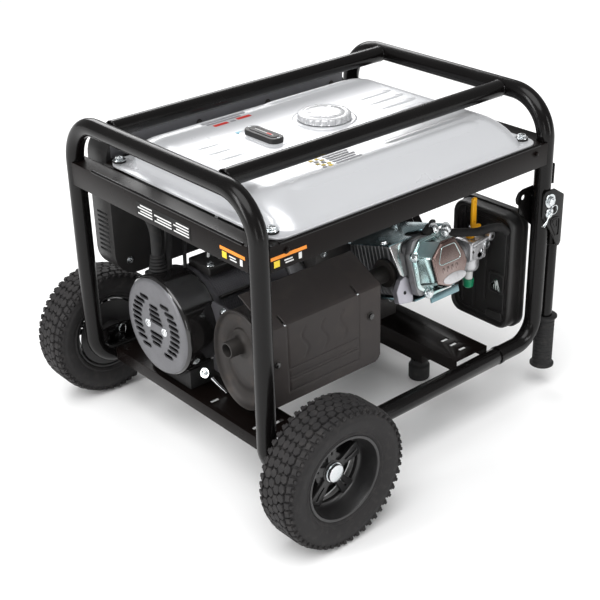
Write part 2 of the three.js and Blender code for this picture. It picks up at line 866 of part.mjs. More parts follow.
// Intake: carburettor, choke lever, air cleaner.
const INTAKE = { y: -152, z: 292 };
const AIR = { x0: 288, x1: 332, y0: -220, y1: -72, z0: 124, z1: 358 };
const headRight = CYL_X + HEAD.half + GAP;
const CHOKE = { x: 249, z: INTAKE.z + 34 };
add(
  "carburettor",
  join(
    rod("x", 16, headRight, AIR.x0 - GAP, INTAKE.y, INTAKE.z, 16),
    box(headRight, INTAKE.y - 26, INTAKE.z - 22, headRight + 10, INTAKE.y + 26, INTAKE.z + 22),
    box(228, INTAKE.y - 20, INTAKE.z - 18, 270, INTAKE.y + 20, INTAKE.z + 20),
    rod("z", 19, INTAKE.z - 44, INTAKE.z - 10, CHOKE.x, INTAKE.y, 20),
    rod("z", 3, INTAKE.z + 18, CHOKE.z + 12, CHOKE.x, INTAKE.y, 10),
  ),
  "alloy",
);
add(
  "choke_lever",
  cut(
    join(
      rod("z", 8, INTAKE.z + 21, INTAKE.z + 34, CHOKE.x, INTAKE.y, 14),
      box(CHOKE.x - 5, INTAKE.y - 9, INTAKE.z + 30, CHOKE.x + 5, INTAKE.y - 4, 394),
      box(CHOKE.x - 5, INTAKE.y - 10, INTAKE.z + 32, CHOKE.x + 22, INTAKE.y - 4, INTAKE.z + 41),
    ),
    rod("z", 3 + GAP, 0, 500, CHOKE.x, INTAKE.y, 10),
  ),
  "orange",
);
const airBody = plate("x", roundRect(AIR.y0, AIR.z0, AIR.y1, AIR.z1, 18), AIR.x0, AIR.x1 - 14);
add("air_cleaner", airBody, "plastic");
add(
  "air_cleaner_lid",
  plate("x", roundRect(AIR.y0 - 4, AIR.z0 - 4, AIR.y1 + 4, AIR.z1 + 4, 20), AIR.x1 - 14 + GAP, AIR.x1),
  "plastic",
);
// ---------- exhaust ----------
const MUFFLER = { x0: -260, x1: -30, y: -106, z: 231, ry: 74, rz: 92 };
const SHIELD = { x0: -272, x1: -26, y: -200, z0: 182, z1: 328, t: 2 };
const oval = (ry, rz) => {
  const s = new THREE.Shape();
  s.absellipse(MUFFLER.y, MUFFLER.z, ry, rz, 0, Math.PI * 2);
  return s;
};
const ovalDrum = (ry, rz, from, to) => {
  const g = new THREE.ExtrudeGeometry(oval(ry, rz), { depth: to - from, bevelEnabled: false, curveSegments: 12 });
  return g.translate(0, 0, from).rotateX(Math.PI / 2).rotateZ(Math.PI / 2);
};
add(
  "muffler",
  cut(
    join(
      ovalDrum(MUFFLER.ry - 3, MUFFLER.rz - 3, MUFFLER.x0 + 6, MUFFLER.x1 - 6),
      ovalDrum(MUFFLER.ry, MUFFLER.rz, MUFFLER.x0, MUFFLER.x0 + 8),
      ovalDrum(MUFFLER.ry, MUFFLER.rz, MUFFLER.x1 - 8, MUFFLER.x1),
      rod("x", 16, MUFFLER.x1 - 1, CYL_X - HEAD.half - GAP, -122, 292, 16),
      box(CYL_X - HEAD.half - 10, -148, 270, CYL_X - HEAD.half - GAP, -100, 312),
      rod("x", 14, MUFFLER.x0 - 26, MUFFLER.x0 + 1, MUFFLER.y + 4, MUFFLER.z + 28, 16),
      ...[-210, -80].map((x) => box(x, SHIELD.y + SHIELD.t + GAP, MUFFLER.z - 8, x + 24, -150, MUFFLER.z + 8)),
    ),
    ovalDrum(MUFFLER.ry - 6, MUFFLER.rz - 6, MUFFLER.x0 + 4, MUFFLER.x1 - 4),
    rod("x", 11, MUFFLER.x0 - 30, MUFFLER.x0 + 10, MUFFLER.y + 4, MUFFLER.z + 28, 16),
  ),
  "iron",
);
const shieldOutline = [
  [SHIELD.y, SHIELD.z0],
  [SHIELD.y, SHIELD.z1],
  [SHIELD.y + 74, SHIELD.z1 + 38],
  [SHIELD.y + 74, SHIELD.z1 + 36],
  [SHIELD.y + SHIELD.t, SHIELD.z1 - 2],
  [SHIELD.y + SHIELD.t, SHIELD.z0],
];
add(
  "muffler_shield",
  plate("x", shieldOutline.slice().reverse(), SHIELD.x0, SHIELD.x1),
  "iron",
);

// ---------- control panel ----------
const PANEL = { x0: -292, x1: 270, y0: 204, y1: 262, z0: 284, z1: 554, round: 46 };
const PANEL_WALL = 3;
const panelShape = (inset) =>
  roundRect(PANEL.x0 + inset, PANEL.z0 + inset, PANEL.x1 - inset, PANEL.z1 - inset, PANEL.round - inset);
add(
  "panel_housing",
  cut(
    plateY(panelShape(0), PANEL.y0, PANEL.y1),
    plateY(panelShape(PANEL_WALL), PANEL.y0 + PANEL_WALL, PANEL.y1 + 5),
  ),
  "frame",
);
const FACE_Y = PANEL.y1 + GAP;
const FACE_T = 3;
const FACE_OUT = FACE_Y + FACE_T;
const SOCKET_Z = 350;
const SWITCH = { x: 150, z: 450 };
const BUTTONS_X = [-30, 40];
const BUTTON_Z = 440;
const BUTTON_R = 6;
const PRESS = 3; // travel of a breaker button
add(
  "panel_face",
  cut(
    join(
      plateY(panelShape(2), FACE_Y, FACE_OUT),
      box(SWITCH.x - 18, FACE_OUT - 1, SWITCH.z - 26, SWITCH.x + 18, FACE_OUT + 6, SWITCH.z + 26),
    ),
    box(SWITCH.x - 14, FACE_OUT + 1, SWITCH.z - 22, SWITCH.x + 14, FACE_OUT + 8, SWITCH.z + 22),
    ...BUTTONS_X.map((x) => rod("y", BUTTON_R + 0.5, FACE_Y - 2, FACE_OUT + 2, x, BUTTON_Z, 16)),
  ),
  "face",
);
const disc = (x, z, r, t, sides = 20) => rod("y", r, FACE_OUT + GAP, FACE_OUT + t, x, z, sides);
add("round_socket_left", disc(-210, SOCKET_Z, 29, 9), "plastic");
add("round_socket_right", disc(-130, SOCKET_Z, 29, 9), "plastic");
const duplexAt = (x, z) =>
  plateY(roundRect(x - 21, z - 34, x + 21, z + 34, 5), FACE_OUT + GAP, FACE_OUT + 6);
add("duplex_socket_left", duplexAt(-34, SOCKET_Z), "plastic");
add("duplex_socket_right", duplexAt(30, SOCKET_Z), "plastic");
add("voltmeter", disc(-170, 465, 27, 8), "plastic");
["left", "right"].forEach((side, k) => {
  const from = FACE_Y - 1;
  const to = FACE_OUT + PRESS + 2;
  add(`breaker_button_${side}`, rod("y", BUTTON_R, from, to, BUTTONS_X[k], BUTTON_Z, 16), "red");
});
const rockerOutline = [
  [FACE_OUT + 4, SWITCH.z - 19],
  [FACE_OUT + 9, SWITCH.z - 19],
  [FACE_OUT + 8, SWITCH.z],
  [FACE_OUT + 13, SWITCH.z + 18],
  [FACE_OUT + 6, SWITCH.z + 19],
];
add("engine_switch", plate("x", rockerOutline, SWITCH.x - 13, SWITCH.x + 13), "red");

// Lead from the alternator cover up to the panel, in a moulded boot.
const LEAD_X = -272;
add(
  "output_lead",
  tube(
    bent(
      [
        [LEAD_X, CRANK_Y + 34, CRANK_Z + COVER.r - 2],
        [LEAD_X, CRANK_Y + 34, CRANK_Z + 196],
        [LEAD_X, PANEL.y0 - GAP, CRANK_Z + 196],
      ],
      44,
      4,
    ),
    10,
    10,
  ),
  "rubber",
);

export default generator;
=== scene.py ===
import bpy
import bmesh
import random
from math import acos, atan2, cos, hypot, pi, radians, sin, tan
from mathutils import Matrix, Vector


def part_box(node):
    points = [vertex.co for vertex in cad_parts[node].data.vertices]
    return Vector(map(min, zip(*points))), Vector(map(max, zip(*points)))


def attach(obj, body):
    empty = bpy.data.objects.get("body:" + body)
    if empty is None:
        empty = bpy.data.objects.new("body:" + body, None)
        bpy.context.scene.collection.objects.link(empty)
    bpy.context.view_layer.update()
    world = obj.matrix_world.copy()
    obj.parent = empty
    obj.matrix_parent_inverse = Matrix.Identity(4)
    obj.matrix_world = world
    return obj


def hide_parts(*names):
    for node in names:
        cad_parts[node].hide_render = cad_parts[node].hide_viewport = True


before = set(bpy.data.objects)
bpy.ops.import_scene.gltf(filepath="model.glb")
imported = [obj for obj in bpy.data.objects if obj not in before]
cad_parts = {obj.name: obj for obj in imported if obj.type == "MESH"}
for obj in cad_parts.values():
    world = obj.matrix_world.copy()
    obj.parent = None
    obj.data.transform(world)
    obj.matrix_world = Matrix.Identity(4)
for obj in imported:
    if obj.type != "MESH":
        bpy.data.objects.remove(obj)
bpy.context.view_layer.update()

MM = 0.001
X, Y, Z = Vector((1, 0, 0)), Vector((0, 1, 0)), Vector((0, 0, 1))
SIDES = [("near", -1), ("far", 1)]
rnd = random.Random(7)


# ---------- shapes, all in millimetres ----------
def pointing(origin, direction, turn=0.0):
    """Matrix whose Z axis points along direction, at origin."""
    d = Vector(direction).normalized()
    up = Z if abs(d.z) < 0.9 else X
    x = up.cross(d).normalized()
    y = d.cross(x)
    m = Matrix((x, y, d)).transposed().to_4x4()
    return Matrix.Translation(Vector(origin)) @ m @ Matrix.Rotation(turn, 4, "Z")


def upright(x, y, z, facing=-1):
    """Frame with local x along X, local y up and local z towards facing * Y."""
    return Matrix(((1, 0, 0, x), (0, 0, facing, y), (0, 1, 0, z), (0, 0, 0, 1)))


def side_on(x, y, z, facing=1):
    """Frame with local x along Y, local y up and local z towards facing * X."""
    return Matrix(((0, 0, facing, x), (1, 0, 0, y), (0, 1, 0, z), (0, 0, 0, 1)))


def turns(n, start=0.0):
    """Angles of n equal steps round a circle."""
    return [2 * pi * k / n + start for k in range(n)]


def polar(r, a, x=0.0, y=0.0):
    return (x + r * cos(a), y + r * sin(a))


def circle(x, y, r, n=24):
    return [polar(r, a, x, y) for a in turns(n)]


def rod(r, z0, z1):
    """Profile of a plain solid cylinder."""
    return [(0, z0), (r, z0), (r, z1), (0, z1)]


def scaled(points, k, cx=0.0, cy=0.0):
    return [(cx + x * k, cy + y * k) for x, y in points]


def rounded(points, radius, steps=4):
    """Rounds the corners of a flat outline."""
    p = [Vector((*q[:2], 0)) for q in points]
    n = len(p)
    out = []
    for i, c in enumerate(p):
        a = p[i - 1] - c
        b = p[(i + 1) % n] - c
        la, lb = a.length, b.length
        a /= la
        b /= lb
        half = acos(max(-1, min(1, a.dot(b)))) / 2
        if half > 1.55 or half < 0.02:
            out.append((c.x, c.y))
            continue
        reach = min(radius / tan(half), la * 0.49, lb * 0.49)
        rr = reach * tan(half)
        centre = c + (a + b).normalized() * (rr / sin(half))
        s = c + a * reach - centre
        e = c + b * reach - centre
        turn = atan2(s.x * e.y - s.y * e.x, s.dot(e))
        for k in range(steps + 1):
            t = turn * k / steps
            out.append(
                (centre.x + s.x * cos(t) - s.y * sin(t), centre.y + s.x * sin(t) + s.y * cos(t))
            )
    return out


def rounded_rect(x0, y0, x1, y1, r, steps=8):
    return rounded([(x0, y0), (x1, y0), (x1, y1), (x0, y1)], r, steps)


def capsule(x, y, length, height, steps=6):
    """Slot outline with round ends, long side along x."""
    r = height / 2
    out = []
    for sx, a0 in ((1, -pi / 2), (-1, pi / 2)):
        out += [
            polar(r, a0 + pi * k / steps, x + sx * (length / 2 - r), y) for k in range(steps + 1)
        ]
    return out


def bent(points, radius, steps):
    """Rounds the corners of a route in space."""
    p = [Vector(q) for q in points]
    out = [p[0]]
    for i in range(1, len(p) - 1):
        a = (p[i - 1] - p[i]).normalized()
        b = (p[i + 1] - p[i]).normalized()
        half = a.angle(b) / 2
        reach = min(
            radius / tan(half), (p[i - 1] - p[i]).length * 0.49, (p[i + 1] - p[i]).length * 0.49
        )
        r = reach * tan(half)
        centre = p[i] + (a + b).normalized() * (r / sin(half))
        s = p[i] + a * reach - centre
        e = p[i] + b * reach - centre
        full = s.angle(e)
        for k in range(steps + 1):
            t = k / steps
            out.append(
                centre + s * (sin((1 - t) * full) / sin(full)) + e * (sin(t * full) / sin(full))
            )
    out.append(p[-1])
    return out


def spline(points, count):
    """Smooth route through the given points."""
    p = [Vector(q) for q in points]
    p = [p[0] * 2 - p[1]] + p + [p[-1] * 2 - p[-2]]
    out = []
    spans = len(p) - 3
    for k in range(count + 1):
        t = k / count * spans
        i = min(int(t), spans - 1)
        u = t - i
        a, b, c, d = p[i : i + 4]
        out.append(
            0.5 * (
                2 * b + (c - a) * u + (
                    2 * a - 5 * b + 4 * c - d
                ) * u * u + (3 * b - a - 3 * c + d) * u**3
            )
        )
    return out


def bevelled(bm, edges, offset, seg):
    bmesh.ops.bevel(
        bm, geom=edges, offset=offset, segments=seg, profile=0.6, affect="EDGES", clamp_overlap=True
    )


class Geo:
    """Collects the faces of one piece."""

    def __init__(self):
        self.v, self.f = [], []  # vertices and faces
        self.m, self.mats = [], []  # each face's material number, and the materials' names

    def add(self, verts, faces, mat, matrix=None):
        if mat not in self.mats:
            self.mats.append(mat)
        k = self.mats.index(mat)
        base = len(self.v)
        self.v += [tuple(matrix @ Vector(q)) if matrix else tuple(q) for q in verts]
        self.f += [[base + i for i in f] for f in faces]
        self.m += [k] * len(faces)
        return self

    def bm(self, bm, mat, matrix=None):
        bmesh.ops.recalc_face_normals(bm, faces=bm.faces)
        bm.verts.index_update()
        faces = [[v.index for v in f.verts] for f in bm.faces]
        self.add([v.co.copy() for v in bm.verts], faces, mat, matrix)
        bm.free()
        return self

    def lathe(
        self, profile, mat, origin=(0, 0, 0), axis=Z, n=48, closed=False, radius=None, matrix=None
    ):
        """Turns (radius, height) points round an axis."""
        verts, rings = [], []
        for r, h in profile:
            if r < 1e-6:
                rings.append([len(verts)])
                verts.append((0, 0, h))
            else:
                rings.append(list(range(len(verts), len(verts) + n)))
                for a in turns(n):
                    verts.append((*polar(radius(a, r, h) if radius else r, a), h))
        faces = []
        pairs = list(zip(rings, rings[1:])) + ([(rings[-1], rings[0])] if closed else [])
        for a, b in pairs:
            for k in range(n):
                j = (k + 1) % n
                if len(a) == 1:
                    faces.append([a[0], b[j], b[k]])
                elif len(b) == 1:
                    faces.append([a[k], a[j], b[0]])
                else:
                    faces.append([a[k], a[j], b[j], b[k]])
        return self.add(verts, faces, mat, matrix or pointing(origin, axis))

    def skin(self, rings, mat, matrix=None, cap=True):
        """Closed skin through rings of equally many points."""
        n = len(rings[0])
        last = (len(rings) - 1) * n
        faces = [
            [i + k, i + (k + 1) % n, i + n + (k + 1) % n, i + n + k]
            for i in range(0, last, n) for k in range(n)
        ]
        faces.append(list(range(n))[::-1])
        if cap:
            faces.append([last + k for k in range(n)])
        return self.add([q for ring in rings for q in ring], faces, mat, matrix)

    def loft(self, mat, sections, matrix=None, cap=True):
        """Skin through flat outlines given as (points, height)."""
        return self.skin(
            [[(x, y, z) for x, y in points] for points, z in sections], mat, matrix, cap
        )

    def tube(self, path, r, mat, n=16):
        """Round bar along a path; r is one radius or one for each point."""
        p = [Vector(q) for q in path]
        radii = r if isinstance(r, list) else [r] * len(p)
        u = (p[1] - p[0]).normalized().orthogonal().normalized()
        rings = []
        for i, q in enumerate(p):
            d = (p[min(i + 1, len(p) - 1)] - p[max(i - 1, 0)]).normalized()
            u = (u - d * u.dot(d)).normalized()
            w = d.cross(u)
            rings.append([q + (u * x + w * y) * radii[i] for x, y in circle(0, 0, 1, n)])
        return self.skin(rings, mat)

    def bead(self, loop, z, r, mat, matrix, n=8):
        """Thin bar along a closed flat outline at local height z."""
        pts = [matrix @ Vector((x, y, z)) for x, y in loop]
        return self.tube(pts + pts[:1], r, mat, n)

    def prism(self, outline, z0, z1, mat, matrix=None, bevel=0.0, seg=2, holes=()):
        """Plate from z0 to z1 with bevelled rims."""
        bm = bmesh.new()
        edges = []
        for loop in (outline, *holes):
            vs = [bm.verts.new((x, y, z0)) for x, y in loop]
            edges += [bm.edges.new((vs[i], vs[(i + 1) % len(vs)])) for i in range(len(vs))]
        if holes:
            bmesh.ops.triangle_fill(bm, edges=edges, use_beauty=True, use_dissolve=True)
        else:
            bm.faces.new([e.verts[0] for e in edges])
        r = bmesh.ops.extrude_face_region(bm, geom=bm.faces[:])
        raised = [g for g in r["geom"] if isinstance(g, bmesh.types.BMVert)]
        bmesh.ops.translate(bm, vec=(0, 0, z1 - z0), verts=raised)
        if bevel:
            level = [e for e in bm.edges if abs(e.verts[0].co.z - e.verts[1].co.z) < 1e-6]
            rim = [e for e in level if len(e.link_faces) == 2 and e.calc_face_angle(0) > 0.8]
            bevelled(bm, rim, bevel, seg)
        return self.bm(bm, mat, matrix)

    def box(self, lo, hi, mat, r=1.0, seg=2, matrix=None):
        """Box between two opposite corners, with rounded edges."""
        bm = bmesh.new()
        bmesh.ops.create_cube(bm, size=1)
        for v in bm.verts:
            v.co = [(a + b) / 2 + c * abs(b - a) for a, b, c in zip(lo, hi, v.co)]
        bevelled(bm, bm.edges[:], r, seg)
        return self.bm(bm, mat, matrix)

    def bolt(self, at, axis, size, mat="bright_zinc", washer=True, height=0.7, turn=0.3):
        """Hexagon head on its washer; size is half the width across corners."""
        m = pointing(at, axis, turn)
        t = 0.0
        if washer:
            self.lathe(
                [
                    (0, 0), (size * 1.45, 0), (size * 1.55, size * 0.06), (size * 1.5, size * 0.2),
                    (0, size * 0.22),
                ],
                mat, at, axis, 20,
            )
            t = size * 0.2
        h = size * height
        self.prism(circle(0, 0, size, 6), t, t + h, mat, m, size * 0.09)
        self.lathe(
            [
                (0, h + t), (size * 0.72, h + t), (size * 0.62, h + t + size * 0.08),
                (0, h + t + size * 0.1),
            ],
            mat, at, axis, 16,
        )
        return self

    def make(self, name, body, replaces=(), slot=None, smooth=38):
        """Links the collected faces as one piece of a body."""
        me = bpy.data.meshes.new(name)
        me.from_pydata([tuple(c * MM for c in v) for v in self.v], [], self.f)
        for m in self.mats:
            me.materials.append(MAT[m])
        me.polygons.foreach_set("material_index", self.m)
        bm = bmesh.new()
        bm.from_mesh(me)
        bmesh.ops.recalc_face_normals(bm, faces=bm.faces)
        bm.to_mesh(me)
        bm.free()
        me.polygons.foreach_set("use_smooth", [True] * len(me.polygons))
        me.set_sharp_from_angle(angle=radians(smooth))
        o = bpy.data.objects.new(name, me)
        bpy.context.scene.collection.objects.link(o)
        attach(o, body)
        if replaces:
            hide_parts(*replaces)
        return o


def node_box(node):
    """Lowest and highest corner of a CAD node in millimetres."""
    lo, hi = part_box(node)
    return lo / MM, hi / MM


def refined(node, mat, body, width, seg=2):
    """The CAD shape with its edges rounded."""
    bm = bmesh.new()
    bm.from_mesh(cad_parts[node].data)
    bmesh.ops.remove_doubles(bm, verts=bm.verts, dist=1e-5)
    bmesh.ops.dissolve_limit(bm, angle_limit=radians(2), verts=bm.verts, edges=bm.edges)
    sharp = [e for e in bm.edges if len(e.link_faces) == 2 and e.calc_face_angle(0) > radians(50)]
    bevelled(bm, sharp, width * MM, seg)
    for v in bm.verts:
        v.co /= MM
    return Geo().bm(bm, mat).make(node + "_shape", body, (node,))


# ---------- materials ----------
MAT = {}


def material(
    name, color, rough, metal=0.0, tint=None, var=0.5, scale=18.0, grain=0.12,
    grain_scale=900.0, rough_var=0.12, coat=0.0, dust=None, specular=0.5,
):
    """Two mottled colours with fine grain; dust is (red, green, blue, amount)."""
    m = bpy.data.materials.new(name)
    m.use_nodes = True
    nt = m.node_tree
    nt.nodes.clear()

    def node(kind, **inputs):
        n = nt.nodes.new("ShaderNode" + kind)
        if kind == "Mix":
            n.data_type = "RGBA"
        for key, value in inputs.items():
            socket = n.inputs[key.replace("_", " ")]
            if isinstance(value, bpy.types.NodeSocket):
                nt.links.new(value, socket)
            else:
                socket.default_value = value
        return n.outputs

    def spread(value, low, high, **to):
        return node("MapRange", Value=value, From_Min=low, From_Max=high, **to)["Result"]

    place = node("TexCoord")["Object"]
    big = node("TexNoise", Vector=place, Scale=scale, Detail=5, Roughness=0.6)["Fac"]
    tint = tint or [c * 0.7 for c in color]
    share = spread(big, 0.35, 0.7, To_Max=var)
    colour = node("Mix", A=(*color, 1), B=(*tint, 1), Factor=share)["Result"]
    if dust:
        fine = node("TexNoise", Vector=place, Scale=scale * 6, Detail=8)["Fac"]
        share = spread(fine, 0.52, 0.75, To_Max=dust[3])
        colour = node("Mix", A=colour, B=(*dust[:3], 1), Factor=share)["Result"]
    low, high = max(rough - rough_var / 2, 0.02), min(rough + rough_var / 2, 1)
    surface = dict(Base_Color=colour, Roughness=spread(big, 0.3, 0.7, To_Min=low, To_Max=high))
    if coat:
        surface.update(Coat_Weight=coat, Coat_Roughness=0.12)
    if grain:
        fine = node("TexNoise", Vector=place, Scale=grain_scale, Detail=3)["Fac"]
        surface["Normal"] = node("Bump", Strength=grain, Distance=0.0006, Height=fine)["Normal"]
    shader = node("BsdfPrincipled", Metallic=metal, Specular_IOR_Level=specular, **surface)
    node("OutputMaterial", Surface=shader["BSDF"])
    MAT[name] = m


material(
    "powder_coat", (0.0034, 0.003, 0.003), 0.23, tint=(0.0056, 0.0048, 0.0046), scale=9,
    grain=0.1, grain_scale=650, coat=0.12, specular=0.18,
)
material(
    "sheet_black", (0.0042, 0.0028, 0.0025), 0.3, tint=(0.0072, 0.0046, 0.004), scale=7,
    grain=0.12, grain_scale=700, specular=0.11,
)
material(
    "tank_paint", (0.67, 0.68, 0.70), 0.3, 0.22, tint=(0.61, 0.62, 0.645), scale=5,
    grain=0.05, grain_scale=1500, coat=0.5, rough_var=0.08,
)
material(
    "cap_paint", (0.66, 0.665, 0.68), 0.28, 0.35, scale=20, var=0.2, grain=0.05, coat=0.3
)
material(
    "black_plastic", (0.014, 0.0135, 0.0135), 0.42, tint=(0.024, 0.022, 0.021),
    scale=12, grain=0.25, grain_scale=1100,
)
material(
    "rim_plastic", (0.016, 0.0155, 0.016), 0.33, tint=(0.028, 0.027, 0.027), scale=14,
    grain=0.16, grain_scale=900, coat=0.1,
)
material(
    "gloss_black", (0.008, 0.0075, 0.0075), 0.14, tint=(0.012, 0.011, 0.011), scale=10,
    grain=0.03, coat=0.8, rough_var=0.05, specular=0.45,
)
material(
    "face_metal_and_reflection", (0.15, 0.15, 0.16), 0.42, 0.5, tint=(0.115, 0.115, 0.12), scale=25,
    grain=0.35, grain_scale=1600,
)
material(
    "heat_paint", (0.036, 0.031, 0.030), 0.52, 0.1, tint=(0.05, 0.041, 0.038), scale=6,
    grain=0.3, grain_scale=1000, dust=(0.075, 0.06, 0.052, 0.25), specular=0.3,
)
material(
    "muffler_steel", (0.034, 0.031, 0.030), 0.46, 0.35, tint=(0.048, 0.042, 0.039),
    scale=9, grain=0.3, grain_scale=900, dust=(0.11, 0.08, 0.06, 0.25), specular=0.35,
)
material(
    "cast_grey", (0.30, 0.30, 0.31), 0.5, 0.7, tint=(0.22, 0.22, 0.225), scale=22,
    grain=0.5, grain_scale=700, dust=(0.12, 0.11, 0.1, 0.4),
)
material(
    "cast_dark", (0.05, 0.048, 0.048), 0.5, 0.4, tint=(0.075, 0.07, 0.066), scale=22,
    grain=0.45, grain_scale=700, dust=(0.11, 0.1, 0.09, 0.3),
)
material(
    "cast_light", (0.62, 0.62, 0.635), 0.38, 0.8, tint=(0.48, 0.48, 0.49), scale=30,
    grain=0.45, grain_scale=800, dust=(0.3, 0.29, 0.28, 0.4),
)
material(
    "plated", (0.66, 0.64, 0.62), 0.12, 1.0, tint=(0.42, 0.57, 0.58), scale=9, var=0.8,
    grain=0.03, rough_var=0.08,
)
material(
    "bright_zinc", (0.72, 0.73, 0.745), 0.2, 1.0, tint=(0.58, 0.66, 0.67), scale=40,
    var=0.6, grain=0.08, dust=(0.4, 0.39, 0.36, 0.25),
)
material(
    "iron_dark", (0.035, 0.033, 0.032), 0.55, 0.6, tint=(0.06, 0.052, 0.046), scale=30,
    grain=0.4, grain_scale=600,
)
material(
    "rubber", (0.013, 0.013, 0.0135), 0.68, tint=(0.022, 0.021, 0.021), scale=16,
    grain=0.3, grain_scale=800, dust=(0.05, 0.046, 0.042, 0.3), specular=0.3,
)
material(
    "tyre", (0.020, 0.019, 0.0195), 0.72, tint=(0.032, 0.030, 0.030), scale=14, grain=0.45,
    grain_scale=700, dust=(0.06, 0.055, 0.052, 0.35), specular=0.25,
)
material(
    "orange", (1.0, 0.5, 0.006), 0.4, tint=(1.0, 0.42, 0.005), scale=20, var=0.6,
    grain=0.1,
)
material(
    "green", (0.0, 0.22, 0.095), 0.35, tint=(0.0, 0.14, 0.06), scale=30, var=0.6,
    grain=0.08,
)
material(
    "white_plastic", (0.72, 0.73, 0.72), 0.4, tint=(0.6, 0.61, 0.6), scale=30, var=0.5,
    grain=0.1,
)
material(
    "panel_black", (0.02, 0.02, 0.0215), 0.45, tint=(0.03, 0.03, 0.032), scale=10,
    grain=0.3, grain_scale=1400,
)
material(
    "panel_grey", (0.16, 0.16, 0.168), 0.4, 0.3, tint=(0.2, 0.2, 0.205), scale=12,
    grain=0.15,
)
material(
    "red_gloss", (0.5, 0.012, 0.01), 0.22, tint=(0.36, 0.008, 0.008), scale=30, var=0.5,
    grain=0.04, coat=0.4,
)
material("ink_white", (0.75, 0.75, 0.74), 0.5, scale=60, var=0.25, grain=0.05)
material("ink_blue", (0.2, 0.5, 0.62), 0.4, scale=60, var=0.3, grain=0.05)
material("ink_grey", (0.27, 0.27, 0.29), 0.45, scale=60, var=0.4, grain=0.05)
material("ink_red", (0.55, 0.03, 0.02), 0.45, scale=60, var=0.3, grain=0.05)
material("ink_orange", (0.9, 0.28, 0.01), 0.45, scale=60, var=0.3, grain=0.05)
material("ink_yellow", (0.85, 0.62, 0.02), 0.45, scale=60, var=0.3, grain=0.05)
# Near-black for printed marks, and painted shade in holes, slots, vents and behind the alternator's
# face.
material("shade_and_print_black", (0.004, 0.004, 0.004), 0.8, scale=20, grain=0.05)

material(
    "plated_teal", (0.42, 0.62, 0.62), 0.13, 1.0, tint=(0.7, 0.74, 0.72), scale=14,
    var=0.9, grain=0.03, rough_var=0.06,
)
material(
    "plated_brown", (0.17, 0.105, 0.092), 0.22, 1.0, tint=(0.42, 0.36, 0.34), scale=9,
    var=0.9, grain=0.04, rough_var=0.06,
)
material(
    "zinc_top", (0.16, 0.27, 0.30), 0.2, 1.0, tint=(0.30, 0.40, 0.42), scale=8, var=0.9,
    grain=0.05, rough_var=0.08,
)
material(
    "zinc_front", (0.58, 0.60, 0.60), 0.2, 1.0, tint=(0.36, 0.29, 0.28), scale=11,
    var=0.95, grain=0.05, rough_var=0.08,
)
material(
    "plate_grey", (0.075, 0.073, 0.08), 0.42, 0.25, tint=(0.1, 0.098, 0.105), scale=14,
    grain=0.25, grain_scale=900,
)
material(
    "cast_lilac", (0.5, 0.49, 0.54), 0.42, 0.7, tint=(0.36, 0.35, 0.39), scale=25,
    grain=0.4, grain_scale=800,
)


# ---------- pieces kept close to the CAD shape ----------
for node, mat, body, width in (
    ("engine_block", "cast_dark", "frame", 2.5), ("blower_housing", "sheet_black", "frame", 3.0),
    ("recoil_starter", "sheet_black", "frame", 2.0),
    ("rotor_and_crankshaft", "iron_dark", "rotor", 1.0),
    ("alternator_bell", "cast_grey", "frame", 1.5), ("alternator_mount", "rubber", "frame", 2.0),
    ("panel_housing", "black_plastic", "frame", 2.0),
    ("tank_rail_front", "sheet_black", "frame", 1.2),
    ("tank_rail_back", "sheet_black", "frame", 1.2),
    ("tank_rail_left", "sheet_black", "frame", 1.2),
    ("tank_rail_right", "sheet_black", "frame", 1.2),
    ("cross_member_left", "sheet_black", "frame", 1.0),
    ("cross_member_right", "sheet_black", "frame", 1.0),
    ("rubber_foot_near", "rubber", "frame", 1.5), ("rubber_foot_far", "rubber", "frame", 1.5),
    ("starter_grip", "rubber", "starter_pull", 2.0),
):
    refined(node, mat, body, width)


# ---------- tubular frame ----------
POST_X, POST_Y, TOP_Z, LOW_Z = 325, 250, 584, 112
TUBE_R, BEND_R, BAR_Y = 16, 76, 152
JOINT_X = 224  # where the hoops take in the lower rails
WHEEL_X, WHEEL_R = -259, 125
BRACKET_Y = 276.4  # middle of the axle bracket's plate


def weld_bead(g, centre, axis, ring_r, n=44, size=2.6):
    """A ring of overlapping weld ripples, made of n short steps."""
    m = pointing(centre, axis)
    path = [m @ Vector((*polar(ring_r, 2 * pi * k / n), 0)) for k in range(n + 1)]
    g.tube(
        path, [size * (0.8 + 0.35 * (k % 2) + 0.12 * rnd.random()) for k in range(n + 1)],
        "powder_coat", 8,
    )


